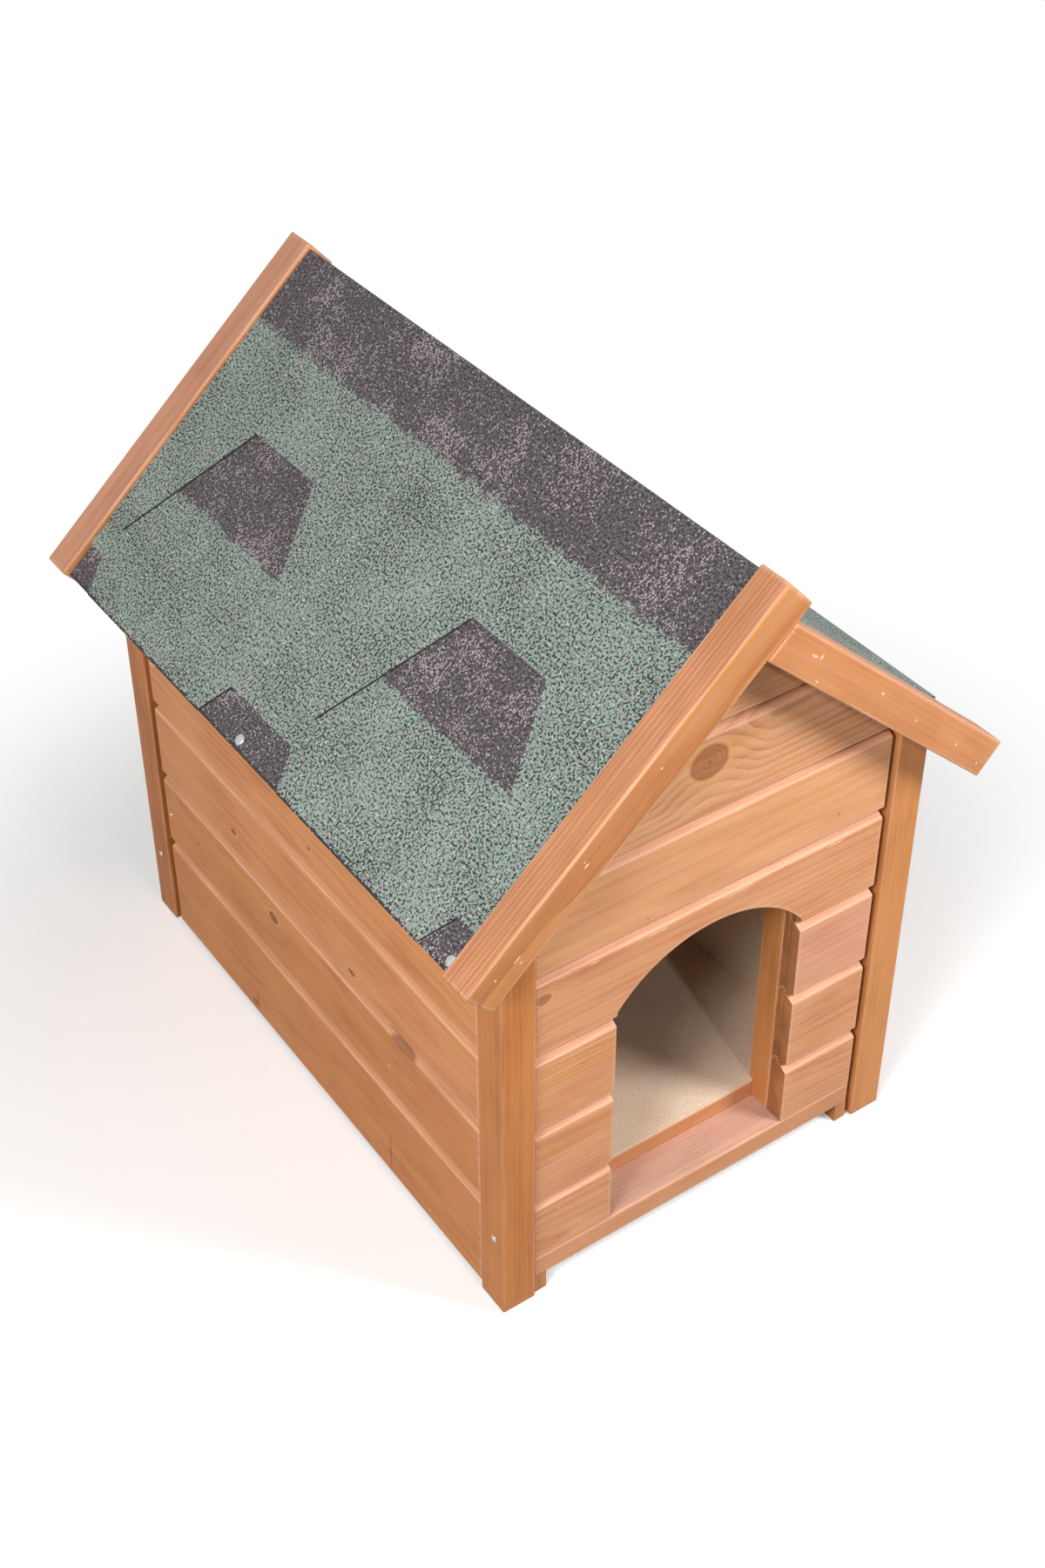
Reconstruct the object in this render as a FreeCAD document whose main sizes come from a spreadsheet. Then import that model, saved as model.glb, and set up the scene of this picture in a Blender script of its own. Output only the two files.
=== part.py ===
"""Small wooden dog house: four posts, boarded walls with an arched doorway and a shingled roof.

Frame: +X to the right of someone facing the doorway, +Y towards the back, +Z up, in millimetres.
The origin is on the ground under the middle of the house, and the doorway is in the -Y wall.
"""
import FreeCAD, Part
import math
import os
import Sketcher

# ---------------------------------------------------------------- driving sizes (mm, degrees)
SIZES = {
    # posts and walls
    "house_width": 415.0,            # outer faces of the posts, side to side
    "house_depth": 617.0,            # outer faces of the posts, front to back
    "post_width": 32.0,
    "post_depth": 33.0,
    "post_edge_radius": 1.5,
    "end_wall_recess": 3.4,          # front and back boards stand this far behind the post faces
    "side_wall_recess": 2.0,
    "end_gap_near": 1.7,             # board end to post, at each side of a wall
    "end_gap_far": 5.1,
    "side_gap_near": 2.5,
    "side_gap_far": 8.0,
    # tongued and grooved boards
    "board_cover": 84.3,             # height of one course
    "board_thickness": 19.3,
    "first_joint_height": 108.0,     # ground to the lowest joint between two courses
    "vee_depth": 8.0,
    "vee_upper": 6.0,                # the bevel on a board's lower edge
    "vee_lower": 5.0,                # the bevel on a board's upper edge
    "tongue_thickness": 5.0,
    "tongue_height": 6.0,
    "tongue_setback": 11.0,          # front face to tongue
    "tongue_clearance": 0.3,
    # doorway
    "door_width": 187.0,
    "door_offset": 2.5,              # the doorway's middle is this far left of the house's
    "door_crown_height": 332.3,
    "door_arch_radius": 117.0,
    "jamb_batten_width": 27.0,
    "jamb_batten_above_crown": 26.7,
    "arch_head_least": 12.0,         # a board crosses the doorway where this much of it stays above
    # bottom rails and feet
    "rail_height": 22.0,
    "rail_depth": 40.0,
    "rail_clear_of_ground": 20.0,
    "foot_block_width": 12.0,
    "side_wall_clear_of_ground": 5.5,
    # frame behind the boards
    "end_frame_thickness": 25.8,
    "side_frame_thickness": 23.7,
    "corner_batten_width": 27.0,
    "stud_width": 30.0,
    "plate_depth": 49.0,             # top plate, measured plumb at its outer face
    "lining_thickness": 3.0,
    "floor_height": 62.0,
    "floor_sheet_thickness": 3.0,
    "bearer_thickness": 18.0,
    "bearer_clear_of_ground": 20.0,
    # roof
    "roof_pitch": 42.0,
    "gable_height": 629.0,           # ground to the underside of the roof at the ridge
    "deck_thickness": 9.0,
    "roof_seat_gap": 0.3,
    "eave_reach": 258.4,             # house middle to the barge boards' lower tips
    "ridge_overrun": 18.0,           # left barge boards past the ridge line, along the slope
    "deck_ridge_setback": 7.0,
    "deck_eave_setback": 8.0,
    "barge_depth": 34.0,
    "barge_thickness": 31.0,
    "barge_rise_left": 9.1,          # barge board's top edge above the deck
    "barge_rise_right": 6.1,
    "barge_edge_radius": 1.5,
    "rafter_depth": 24.0,
    # shingle strips
    "shingle_thickness": 2.5,
    "shingle_eave_setback": 2.5,
    "shingle_ridge_overhang": 3.6,
    "shingle_pitch": 333.3,          # one tab and one notch
    "notch_top_width": 97.0,
    "notch_height": 142.0,
    "notch_slant": 69.3,             # how far each side of a notch runs outwards over its height
    "tab_end_above_eave": 62.7,
    "course_exposure": 170.2,
    "starter_height": 45.0,
    "felt_ramp": 14.0,               # length over which a strip climbs onto the one below
    "felt_clearance": 0.4,
    "ridge_drape": 58.0,             # right top strip's fall from the ridge lip to the slope
}

document = FreeCAD.newDocument("DogHouse")
sheet = document.addObject("Spreadsheet::Sheet", "Sizes")
for row, (alias, value) in enumerate(SIZES.items(), start=1):
    sheet.set("A%d" % row, alias)
    sheet.set("B%d" % row, str(value))
    sheet.setAlias("B%d" % row, alias)
document.recompute()


def size(text):
    """A sheet formula: words in braces become cells, as in size("{house_width} / 2")."""
    for alias in SIZES:
        text = text.replace("{" + alias + "}", "Sizes." + alias)
    return "(" + text + ")"


def number(expression):
    """The value of a formula at this moment."""
    value = sheet.evalExpression(expression.replace("Sizes.", ""))
    return float(getattr(value, "Value", value))


# ---------------------------------------------------------------- places worked out from the sizes
POST_INNER_X = size("{house_width} / 2 - {post_width}")
POST_INNER_Y = size("{house_depth} / 2 - {post_depth}")
END_FACE = size("{house_depth} / 2 - {end_wall_recess}")
SIDE_FACE = size("{house_width} / 2 - {side_wall_recess}")
END_FRAME = size(END_FACE + " - {board_thickness}")
SIDE_FRAME = size(SIDE_FACE + " - {board_thickness}")
END_INSIDE = size(END_FRAME + " - {end_frame_thickness}")
SIDE_INSIDE = size(SIDE_FRAME + " - {side_frame_thickness}")
RAIL_BACK = size(END_FACE + " - {rail_depth}")
RAIL_TOP = size("{rail_clear_of_ground} + {rail_height}")
FLOOR_UNDERSIDE = size("{floor_height} - {floor_sheet_thickness}")
DOOR_MIDDLE = size("-{door_offset}")
DOOR_LEFT = size(DOOR_MIDDLE + " - {door_width} / 2")
DOOR_RIGHT = size(DOOR_MIDDLE + " + {door_width} / 2")
DOOR_SPRING = size("{door_crown_height} - {door_arch_radius}"
                   " + sqrt({door_arch_radius} ^ 2 - {door_width} ^ 2 / 4)")

# Roof planes are given by their distance from the origin, square to the slope ("level"), and a
# point on a slope by its distance up the slope from the foot of that perpendicular ("run").
PITCH = size("{roof_pitch}")
DECK_UNDERSIDE = size("{gable_height} * cos({roof_pitch})")
DECK_TOP = size(DECK_UNDERSIDE + " + {deck_thickness}")
ROOF_SEAT = size(DECK_UNDERSIDE + " - {roof_seat_gap}")
BARGE_TOP = {-1: size(DECK_TOP + " + {barge_rise_left}"), 1: size(DECK_TOP + " + {barge_rise_right}")}
BARGE_FOOT = {side: size("(%s * sin({roof_pitch}) - {eave_reach}) / cos({roof_pitch})" % level)
              for side, level in BARGE_TOP.items()}
BARGE_RIDGE_END = size(BARGE_TOP[-1] + " * tan({roof_pitch}) + {ridge_overrun}")
DECK_RIDGE_END = size(BARGE_RIDGE_END + " - {deck_ridge_setback}")
DECK_EAVE = size(BARGE_FOOT[-1] + " + {deck_eave_setback}")
SHINGLE_EAVE = size(BARGE_FOOT[-1] + " + {shingle_eave_setback}")
SHINGLE_RIDGE_END = size(DECK_RIDGE_END + " + {shingle_ridge_overhang}")
TAB_END = size(SHINGLE_EAVE + " + {tab_end_above_eave}")
NOTCH_TOP = size(TAB_END + " + {notch_height}")
LOWER_NOTCH_TOP = size(NOTCH_TOP + " - {course_exposure}")
FELT_1 = size(DECK_TOP + " + {shingle_thickness}")
FELT_2 = size(DECK_TOP + " + 2 * {shingle_thickness}")


def roof_height(reach, level=ROOF_SEAT):
    """Height of a roof plane at a distance from the house's middle."""
    return size("(%s - %s * sin({roof_pitch})) / cos({roof_pitch})" % (level, reach))


def run_at_left_level(left_level, level):
    """On the right slope, the run at which a plane parallel to the left slope crosses a level."""
    return size("(%s - %s * cos(2 * {roof_pitch})) / sin(2 * {roof_pitch})" % (left_level, level))


def seen_from_right(run, level):
    """A point given on the left slope, as run and level on the right slope."""
    return (size("%s * sin(2 * {roof_pitch}) - %s * cos(2 * {roof_pitch})" % (level, run)),
            size("%s * cos(2 * {roof_pitch}) + %s * sin(2 * {roof_pitch})" % (level, run)))


def course_joint(course):
    """Height of the joint under a course of boards; course 1 is the lowest."""
    return size("{first_joint_height} + %d * {board_cover}" % (course - 2))


def courses_to(height, least_share):
    """How many courses reach a height, the last one if it covers at least a share of its board."""
    above_first = (number(height) - number(course_joint(2))) / number("Sizes.board_cover")
    return 1 + int(above_first + 1 - least_share)


PLATE_UNDERSIDE = size(roof_height(SIDE_FRAME) + " - {plate_depth}")
END_COURSES = courses_to(roof_height("0"), 0.35)
SIDE_COURSES = courses_to(roof_height(SIDE_FACE), 0.5)


# ---------------------------------------------------------------- drawing helpers
def new_body(label):
    body = document.addObject("PartDesign::Body", label)
    body.Label = label
    return body


def draw(body, name, plane_role, outlines, radius=None, tilt=None):
    """A fully constrained sketch of closed outlines. A corner is a pair of formulas; a corner
    marked "arc" starts an arc of the given radius that bulges to the left of its chord. A tilt
    turns the sketch about the Y axis, its X axis upwards."""
    sketch = body.newObject("Sketcher::SketchObject", name)
    plane = [feature for feature in body.Origin.OriginFeatures if feature.Role == plane_role][0]
    sketch.AttachmentSupport = [(plane, "")]
    sketch.MapMode = "FlatFace"
    if tilt:
        turn = FreeCAD.Rotation(FreeCAD.Vector(0, -1, 0), number(tilt))
        sketch.AttachmentOffset = FreeCAD.Placement(FreeCAD.Vector(), turn)
        sketch.setExpression("AttachmentOffset.Rotation.Angle", tilt)
    for corners in outlines:
        first = sketch.GeometryCount
        count = len(corners)
        places = [FreeCAD.Vector(number(c[0]), number(c[1]), 0) for c in corners]
        for i, corner in enumerate(corners):
            start, end = places[i], places[(i + 1) % count]
            if len(corner) == 3:
                curve = arc_left_of_chord(start, end, number(radius))
            else:
                curve = Part.LineSegment(start, end)
            sketch.addGeometry(curve, False)
        for i, corner in enumerate(corners):
            following = corners[(i + 1) % count]
            here = 1 if len(corner) == 3 else 2
            there = 2 if len(following) == 3 else 1
            sketch.addConstraint(Sketcher.Constraint("Coincident", first + i, here,
                                                     first + (i + 1) % count, there))
        for i, corner in enumerate(corners):
            point = 2 if len(corner) == 3 else 1
            bind(sketch, "DistanceX", (-1, 1, first + i, point), corner[0])
            bind(sketch, "DistanceY", (-1, 1, first + i, point), corner[1])
            if len(corner) == 3:
                bind(sketch, "Radius", (first + i,), radius)
    return sketch


def arc_left_of_chord(start, end, radius):
    """Arc from end round to start, counter-clockwise, so the drawn path start-end runs clockwise."""
    middle = (start + end) * 0.5
    half = (end - start) * 0.5
    drop = math.sqrt(radius ** 2 - half.Length ** 2)
    inward = FreeCAD.Vector(half.y, -half.x, 0).normalize()
    centre = middle + inward * drop
    angle_end = math.atan2(end.y - centre.y, end.x - centre.x)
    angle_start = math.atan2(start.y - centre.y, start.x - centre.x)
    return Part.ArcOfCircle(Part.Circle(centre, FreeCAD.Vector(0, 0, 1), radius), angle_end, angle_start)


def bind(sketch, kind, geometry, formula):
    index = sketch.addConstraint(Sketcher.Constraint(kind, *geometry, number(formula)))
    sketch.setExpression("Constraints[%d]" % index, formula)


def pad(body, sketch, length, middle=False):
    feature = body.newObject("PartDesign::Pad", body.Label + "_pad")
    feature.Profile = sketch
    feature.setExpression("Length", length)
    feature.Midplane = middle
    document.recompute()
    return feature


def cut_through(body, sketch):
    """A pocket through the whole body, both ways from the sketch."""
    before = body.Shape.Volume
    feature = body.newObject("PartDesign::Pocket", body.Label + "_cut")
    feature.Profile = sketch
    feature.Type = "ThroughAll"
    feature.Midplane = True
    document.recompute()
    if body.Shape.Volume >= before:
        raise RuntimeError(body.Label + ": the cut removed nothing")
    return feature


def soften(body, radius, direction):
    """Rounds the long edges that run along a direction."""
    base = body.Tip
    names = []
    for index, edge in enumerate(base.Shape.Edges, start=1):
        along = edge.tangentAt(edge.FirstParameter)
        if isinstance(edge.Curve, Part.Line) and abs(along.dot(direction)) > 0.999:
            names.append("Edge%d" % index)
    feature = body.newObject("PartDesign::Fillet", body.Label + "_edges")
    feature.Base = (base, names)
    feature.setExpression("Radius", radius)
    return feature


def place(piece, base, angle=0):
    """Binds a piece's position to three formulas and turns it about the vertical by an angle."""
    start = FreeCAD.Vector(*[number(formula) for formula in base])
    piece.Placement = FreeCAD.Placement(start, FreeCAD.Rotation(FreeCAD.Vector(0, 0, 1), angle))
    for letter, formula in zip("xyz", base):
        piece.setExpression("Placement.Base." + letter, formula)


def block(label, x_range, y_range, z_range):
    """A rectangular batten or sheet between pairs of formulas."""
    piece = document.addObject("Part::Box", label)
    piece.Label = label
    for prop, (low, high) in zip(("Length", "Width", "Height"), (x_range, y_range, z_range)):
        piece.setExpression(prop, "%s - %s" % (high, low))
    place(piece, (x_range[0], y_range[0], z_range[0]))
    return piece


def group(label, pieces):
    """Alike pieces kept together as one node of separate solids."""
    collection = document.addObject("Part::Compound", label)
    collection.Label = label
    collection.Links = pieces
    return collection


# ---------------------------------------------------------------- walls
# A wall is drawn as if it faced -Y, from its own left to its own right as seen from outside.
WALLS = {"front": (0, END_FACE), "rear": (180, END_FACE), "left": (-90, SIDE_FACE), "right": (90, SIDE_FACE)}
END_SPAN = (size("{end_gap_near} - " + POST_INNER_X), size(POST_INNER_X + " - {end_gap_far}"))
SIDE_SPAN = (size("{side_gap_far} - " + POST_INNER_Y), size(POST_INNER_Y + " - {side_gap_near}"))


def stand(piece, wall, along, height="0"):
    """Places a piece drawn from its front face: at a distance along a wall and above the ground."""
    angle, face = WALLS[wall]
    opposite_face = size("-" + face)
    opposite_along = size("-" + along)
    base = {"front": (along, opposite_face), "rear": (opposite_along, face),
            "left": (opposite_face, opposite_along), "right": (face, along)}[wall]
    place(piece, (base[0], base[1], height), angle)


def square_foot(height):
    return [("0", height), ("Sizes.board_thickness", height)]


def grooved_foot(height):
    groove_front = size("{tongue_setback} - {tongue_clearance}")
    groove_back = size("{tongue_setback} + {tongue_thickness} + {tongue_clearance}")
    groove_top = size(height + " + {tongue_height} + {tongue_clearance}")
    return [("0", size(height + " + {vee_upper}")), ("Sizes.vee_depth", height),
            (groove_front, height), (groove_front, groove_top), (groove_back, groove_top),
            (groove_back, height), ("Sizes.board_thickness", height)]


def tongued_head(height):
    tongue_back = size("{tongue_setback} + {tongue_thickness}")
    tongue_top = size(height + " + {tongue_height}")
    return [("Sizes.board_thickness", height), (tongue_back, height), (tongue_back, tongue_top),
            ("Sizes.tongue_setback", tongue_top), ("Sizes.tongue_setback", height),
            ("Sizes.vee_depth", height), ("0", size(height + " - {vee_lower}"))]


def square_head(height):
    return [("Sizes.board_thickness", height), ("0", height)]


def roof_cut_head():
    """A side wall's top board ends along the underside of the roof."""
    return [("Sizes.board_thickness", roof_height(SIDE_FRAME)), ("0", roof_height(SIDE_FACE))]


def board(label, wall, span, foot, head):
    body = new_body(label)
    section = draw(body, label + "_section", "YZ_Plane", [foot + head])
    pad(body, section, size("%s - %s" % (span[1], span[0])))
    stand(body, wall, span[0])
    return body


def cut_along_roof(body, span):
    """Takes off what stands above the roof's underside, ridge in the middle of the wall."""
    far = "Sizes.house_width"
    above = size("{gable_height} + {board_cover}")
    outline = [("-" + far, roof_height(far)), ("0", roof_height("0")), (far, roof_height(far)),
               (far, above), ("-" + far, above)]
    local = [(size("%s - %s" % (x, span[0])), z) for x, z in outline]
    cut_through(body, draw(body, body.Label + "_roof_line", "XZ_Plane", [local]))


def cut_doorway(body, span):
    """Cuts the doorway's outline, upright jambs under a flat arch, out of a board."""
    left = size("%s - %s" % (DOOR_LEFT, span[0]))
    right = size("%s - %s" % (DOOR_RIGHT, span[0]))
    outline = [(left, "0"), (left, DOOR_SPRING, "arc"), (right, DOOR_SPRING), (right, "0")]
    cut_through(body, draw(body, body.Label + "_doorway", "XZ_Plane", [outline], "Sizes.door_arch_radius"))


def end_board(label, wall, course, span=END_SPAN):
    """One board of an end wall: square at the rail and the ridge, and cut to the roof if it meets it."""
    foot = square_foot(RAIL_TOP) if course == 1 else grooved_foot(course_joint(course))
    joint = course_joint(course + 1)
    head = square_head(joint) if course == END_COURSES else tongued_head(joint)
    body = board(label, wall, span, foot, head)
    if number(joint) + number("Sizes.tongue_height") > number(roof_height(POST_INNER_X)):
        cut_along_roof(body, span)
    return body


def front_boards():
    """Up to the doorway's head the boards come in pairs, one board crosses over the arch, and the
    boards above it are counted from the ridge down."""
    pieces = {}
    crown = number("Sizes.door_crown_height + Sizes.arch_head_least")
    paired = [c for c in range(1, END_COURSES + 1) if number(course_joint(c + 1)) < crown]
    for course in paired:
        for hand, span in (("left", (END_SPAN[0], DOOR_MIDDLE)), ("right", (DOOR_MIDDLE, END_SPAN[1]))):
            label = "front_board_%d_%s" % (course, hand)
            pieces[label] = end_board(label, "front", course, span)
            cut_doorway(pieces[label], span)
    crossing = len(paired) + 1
    pieces["front_board_arch"] = end_board("front_board_arch", "front", crossing)
    cut_doorway(pieces["front_board_arch"], END_SPAN)
    for course in range(crossing + 1, END_COURSES + 1):
        label = "front_gable_board_%d" % (END_COURSES + 1 - course)
        pieces[label] = end_board(label, "front", course)
    return pieces


def rear_boards():
    labels = {course: "rear_board_%d" % course for course in range(1, END_COURSES + 1)}
    return {label: end_board(label, "rear", course) for course, label in labels.items()}


def side_boards(wall):
    pieces = {}
    for course in range(1, SIDE_COURSES + 1):
        label = "%s_board_%d" % (wall, course)
        foot = grooved_foot(course_joint(course))
        if course == 1:
            foot = square_foot("Sizes.side_wall_clear_of_ground")
        head = roof_cut_head() if course == SIDE_COURSES else tongued_head(course_joint(course + 1))
        pieces[label] = board(label, wall, SIDE_SPAN, foot, head)
    return pieces


# ---------------------------------------------------------------- posts, rails and battens
def upright(label, side, x_range, foot, seat, y_front, depth):
    """A post or batten drawn from the front, its top cut to the roof's slope. x_range is given as
    distances from the house's middle, seat as the roof plane under which it ends."""
    body = new_body(label)
    inner, outer = x_range
    corners = [(inner, foot), (outer, foot), (outer, roof_height(outer, seat)),
               (inner, roof_height(inner, seat))]
    handed = [(size("%d * %s" % (side, x)), z) for x, z in corners]
    pad(body, draw(body, label + "_outline", "XZ_Plane", [handed]), depth)
    place(body, ("0", size("%s + %s" % (y_front, depth)), "0"))
    return body


def corner_posts():
    pieces = {}
    outer = size("{house_width} / 2")
    for end, y_front in (("front", size("-{house_depth} / 2")), ("rear", POST_INNER_Y)):
        for hand, side in (("left", -1), ("right", 1)):
            label = "post_%s_%s" % (end, hand)
            post = upright(label, side, (POST_INNER_X, outer), "0", ROOF_SEAT, y_front, "Sizes.post_depth")
            soften(post, "Sizes.post_edge_radius", FreeCAD.Vector(0, 0, 1))
            pieces[label] = post
    return pieces


def corner_battens():
    """The uprights that tie each end wall to its posts; their tops fit under the gable rafters."""
    battens = []
    inner = size(POST_INNER_X + " - {corner_batten_width}")
    seat = size(ROOF_SEAT + " - {rafter_depth}")
    for end, y_front in (("front", size("-" + END_FRAME)), ("rear", END_INSIDE)):
        for hand, side in (("left", -1), ("right", 1)):
            label = "corner_batten_%s_%s" % (end, hand)
            battens.append(upright(label, side, (inner, POST_INNER_X), RAIL_TOP, seat, y_front,
                                   "Sizes.end_frame_thickness"))
    return {"corner_battens": group("corner_battens", battens)}


def gable_rafters():
    """Four short rafters behind the gable boards, plumb-cut at the post and at the ridge."""
    rafters = []
    ridge = size("{roof_seat_gap} / 2")
    underside = size(ROOF_SEAT + " - {rafter_depth}")
    for end, y_front in (("front", size("-" + END_FRAME)), ("rear", END_INSIDE)):
        for hand, side in (("left", -1), ("right", 1)):
            label = "gable_rafter_%s_%s" % (end, hand)
            body = new_body(label)
            corners = [(POST_INNER_X, roof_height(POST_INNER_X, underside)),
                       (POST_INNER_X, roof_height(POST_INNER_X)),
                       (ridge, roof_height(ridge)), (ridge, roof_height(ridge, underside))]
            handed = [(size("%d * %s" % (side, x)), z) for x, z in corners]
            pad(body, draw(body, label + "_outline", "XZ_Plane", [handed]), "Sizes.end_frame_thickness")
            place(body, ("0", size("%s + {end_frame_thickness}" % y_front), "0"))
            rafters.append(body)
    return {"gable_rafters": group("gable_rafters", rafters)}


def rails_and_feet():
    """A bottom rail under each end wall, held off the ground by a block at each end."""
    pieces = {}
    feet = []
    left_end, right_end = END_SPAN
    foot_spans = ((left_end, size(left_end + " + {foot_block_width}")),
                  (size(right_end + " - {foot_block_width}"), right_end))
    for wall in ("front", "rear"):
        rail = block(wall + "_rail", END_SPAN, ("0", "Sizes.rail_depth"),
                     ("Sizes.rail_clear_of_ground", RAIL_TOP))
        stand(rail, wall, left_end, "Sizes.rail_clear_of_ground")
        pieces[wall + "_rail"] = rail
        for index, span in enumerate(foot_spans, start=1):
            foot = block("foot_%s_%d" % (wall, index), span, ("0", "Sizes.rail_depth"),
                         ("0", "Sizes.rail_clear_of_ground"))
            stand(foot, wall, span[0])
            feet.append(foot)
    pieces["foot_blocks"] = group("foot_blocks", feet)
    return pieces


def jamb_battens():
    """The uprights each side of the doorway, flush with the boards' cut ends."""
    y_range = (size("-" + END_FRAME), size("-" + END_INSIDE))
    z_range = (RAIL_TOP, size("{door_crown_height} + {jamb_batten_above_crown}"))
    left = (size(DOOR_LEFT + " - {jamb_batten_width}"), DOOR_LEFT)
    right = (DOOR_RIGHT, size(DOOR_RIGHT + " + {jamb_batten_width}"))
    return {"jamb_batten_left": block("jamb_batten_left", left, y_range, z_range),
            "jamb_batten_right": block("jamb_batten_right", right, y_range, z_range)}


# ---------------------------------------------------------------- side frames, floor and lining
def handed_range(side, inner, outer):
    """An X range given as two distances from the house's middle."""
    if side > 0:
        return (inner, outer)
    return (size("-" + outer), size("-" + inner))


def side_frames():
    """Each side wall's bottom rail, three studs and top plate."""
    pieces = {}
    studs = []
    length = (size("-" + END_INSIDE), END_INSIDE)
    stud_places = (size("-" + END_INSIDE), size("-{stud_width} / 2"), size(END_INSIDE + " - {stud_width}"))
    shelf = size(SIDE_INSIDE + " - {bearer_thickness}")
    for hand, side in (("left", -1), ("right", 1)):
        label = "side_bottom_rail_" + hand
        pieces[label] = block(label, handed_range(side, shelf, SIDE_FRAME), length,
                              ("Sizes.bearer_clear_of_ground", FLOOR_UNDERSIDE))
        for index, start in enumerate(stud_places, start=1):
            y_range = (start, size(start + " + {stud_width}"))
            studs.append(block("stud_%s_%d" % (hand, index), handed_range(side, SIDE_INSIDE, SIDE_FRAME),
                               y_range, (FLOOR_UNDERSIDE, PLATE_UNDERSIDE)))
        label = "side_top_plate_" + hand
        pieces[label] = upright(label, side, (SIDE_INSIDE, SIDE_FRAME), PLATE_UNDERSIDE, ROOF_SEAT,
                                length[0], size("2 * " + END_INSIDE))
    pieces["side_wall_studs"] = group("side_wall_studs", studs)
    return pieces


def linings():
    """Thin boards inside the side and rear walls, standing on the floor."""
    pieces = {}
    inner = size(SIDE_INSIDE + " - {lining_thickness}")
    top = size(roof_height(SIDE_INSIDE) + " - 2 * {lining_thickness}")
    for hand, side in (("left", -1), ("right", 1)):
        label = "lining_" + hand
        pieces[label] = block(label, handed_range(side, inner, SIDE_INSIDE),
                              (size("-" + END_INSIDE), END_INSIDE), ("Sizes.floor_height", top))
    pieces["lining_rear"] = block("lining_rear", (size("-" + inner), inner),
                                  (size(END_INSIDE + " - {lining_thickness}"), END_INSIDE),
                                  ("Sizes.floor_height", top))
    return pieces


def floor_pieces():
    """The floor sheet, with a tongue between the jambs, and the bearers at its front and back."""
    threshold = block("threshold", (DOOR_LEFT, DOOR_RIGHT),
                      (size("-" + RAIL_BACK), size("{bearer_thickness} - " + RAIL_BACK)),
                      ("Sizes.bearer_clear_of_ground", FLOOR_UNDERSIDE))
    shelf = size(SIDE_INSIDE + " - {bearer_thickness}")
    bearer = block("floor_bearer_rear", (size("-" + shelf), shelf),
                   (size(END_INSIDE + " - {bearer_thickness}"), END_INSIDE),
                   ("Sizes.bearer_clear_of_ground", FLOOR_UNDERSIDE))
    sheet_body = new_body("floor_sheet")
    front = size("-" + END_INSIDE)
    nose = size("-" + RAIL_BACK)
    outline = [(size("-" + SIDE_INSIDE), front), (DOOR_LEFT, front), (DOOR_LEFT, nose), (DOOR_RIGHT, nose),
               (DOOR_RIGHT, front), (SIDE_INSIDE, front), (SIDE_INSIDE, END_INSIDE),
               (size("-" + SIDE_INSIDE), END_INSIDE)]
    pad(sheet_body, draw(sheet_body, "floor_outline", "XY_Plane", [outline]), "Sizes.floor_sheet_thickness")
    place(sheet_body, ("0", "0", FLOOR_UNDERSIDE))
    return {"floor_sheet": sheet_body, "threshold": threshold, "floor_bearer_rear": bearer}


# ---------------------------------------------------------------- roof
DECK_LENGTH = size("{house_depth} - 2 * {roof_seat_gap}")


def slope_piece(label, side, section, length=DECK_LENGTH):
    """A piece with the same section all along: the section is a list of (run, level) formulas."""
    body = new_body(label)
    corners = []
    for run, level in section:
        reach = size("%s * sin({roof_pitch}) - %s * cos({roof_pitch})" % (level, run))
        height = size("%s * cos({roof_pitch}) + %s * sin({roof_pitch})" % (level, run))
        corners.append((size("%d * %s" % (side, reach)), height))
    pad(body, draw(body, label + "_section", "XZ_Plane", [corners]), length, length == DECK_LENGTH)
    return body


def decks():
    """The left deck runs on past the ridge; the right one stops under it."""
    left = slope_piece("roof_deck_left", -1, [(DECK_EAVE, DECK_UNDERSIDE), (DECK_RIDGE_END, DECK_UNDERSIDE),
                                              (DECK_RIDGE_END, DECK_TOP), (DECK_EAVE, DECK_TOP)])
    right = slope_piece("roof_deck_right", 1,
                        [(DECK_EAVE, DECK_UNDERSIDE),
                         (run_at_left_level(ROOF_SEAT, DECK_UNDERSIDE), DECK_UNDERSIDE),
                         (run_at_left_level(ROOF_SEAT, DECK_TOP), DECK_TOP), (DECK_EAVE, DECK_TOP)])
    return {"roof_deck_left": left, "roof_deck_right": right}


def barge_boards():
    """Two pairs: each left board runs past the ridge, and its partner butts under it."""
    pieces = {}
    left_under = size(BARGE_TOP[-1] + " - {barge_depth}")
    butt = size(left_under + " - {roof_seat_gap}")
    right_under = size(BARGE_TOP[1] + " - {barge_depth}")
    sections = {
        -1: [(BARGE_FOOT[-1], left_under), (BARGE_RIDGE_END, left_under),
             (BARGE_RIDGE_END, BARGE_TOP[-1]), (BARGE_FOOT[-1], BARGE_TOP[-1])],
        1: [(BARGE_FOOT[1], right_under), (run_at_left_level(butt, right_under), right_under),
            (run_at_left_level(butt, BARGE_TOP[1]), BARGE_TOP[1]), (BARGE_FOOT[1], BARGE_TOP[1])]}
    pitch = math.radians(number(PITCH))
    slopes = {side: FreeCAD.Vector(side * math.cos(pitch), 0, -math.sin(pitch)) for side in (-1, 1)}
    for end, y_back in (("front", size("-{house_depth} / 2")),
                        ("rear", size("{house_depth} / 2 + {barge_thickness}"))):
        for hand, side in (("left", -1), ("right", 1)):
            label = "barge_%s_%s" % (end, hand)
            piece = slope_piece(label, side, sections[side], "Sizes.barge_thickness")
            soften(piece, "Sizes.barge_edge_radius", slopes[side])
            place(piece, ("0", y_back, "0"))
            pieces[label] = piece
    return pieces


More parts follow.
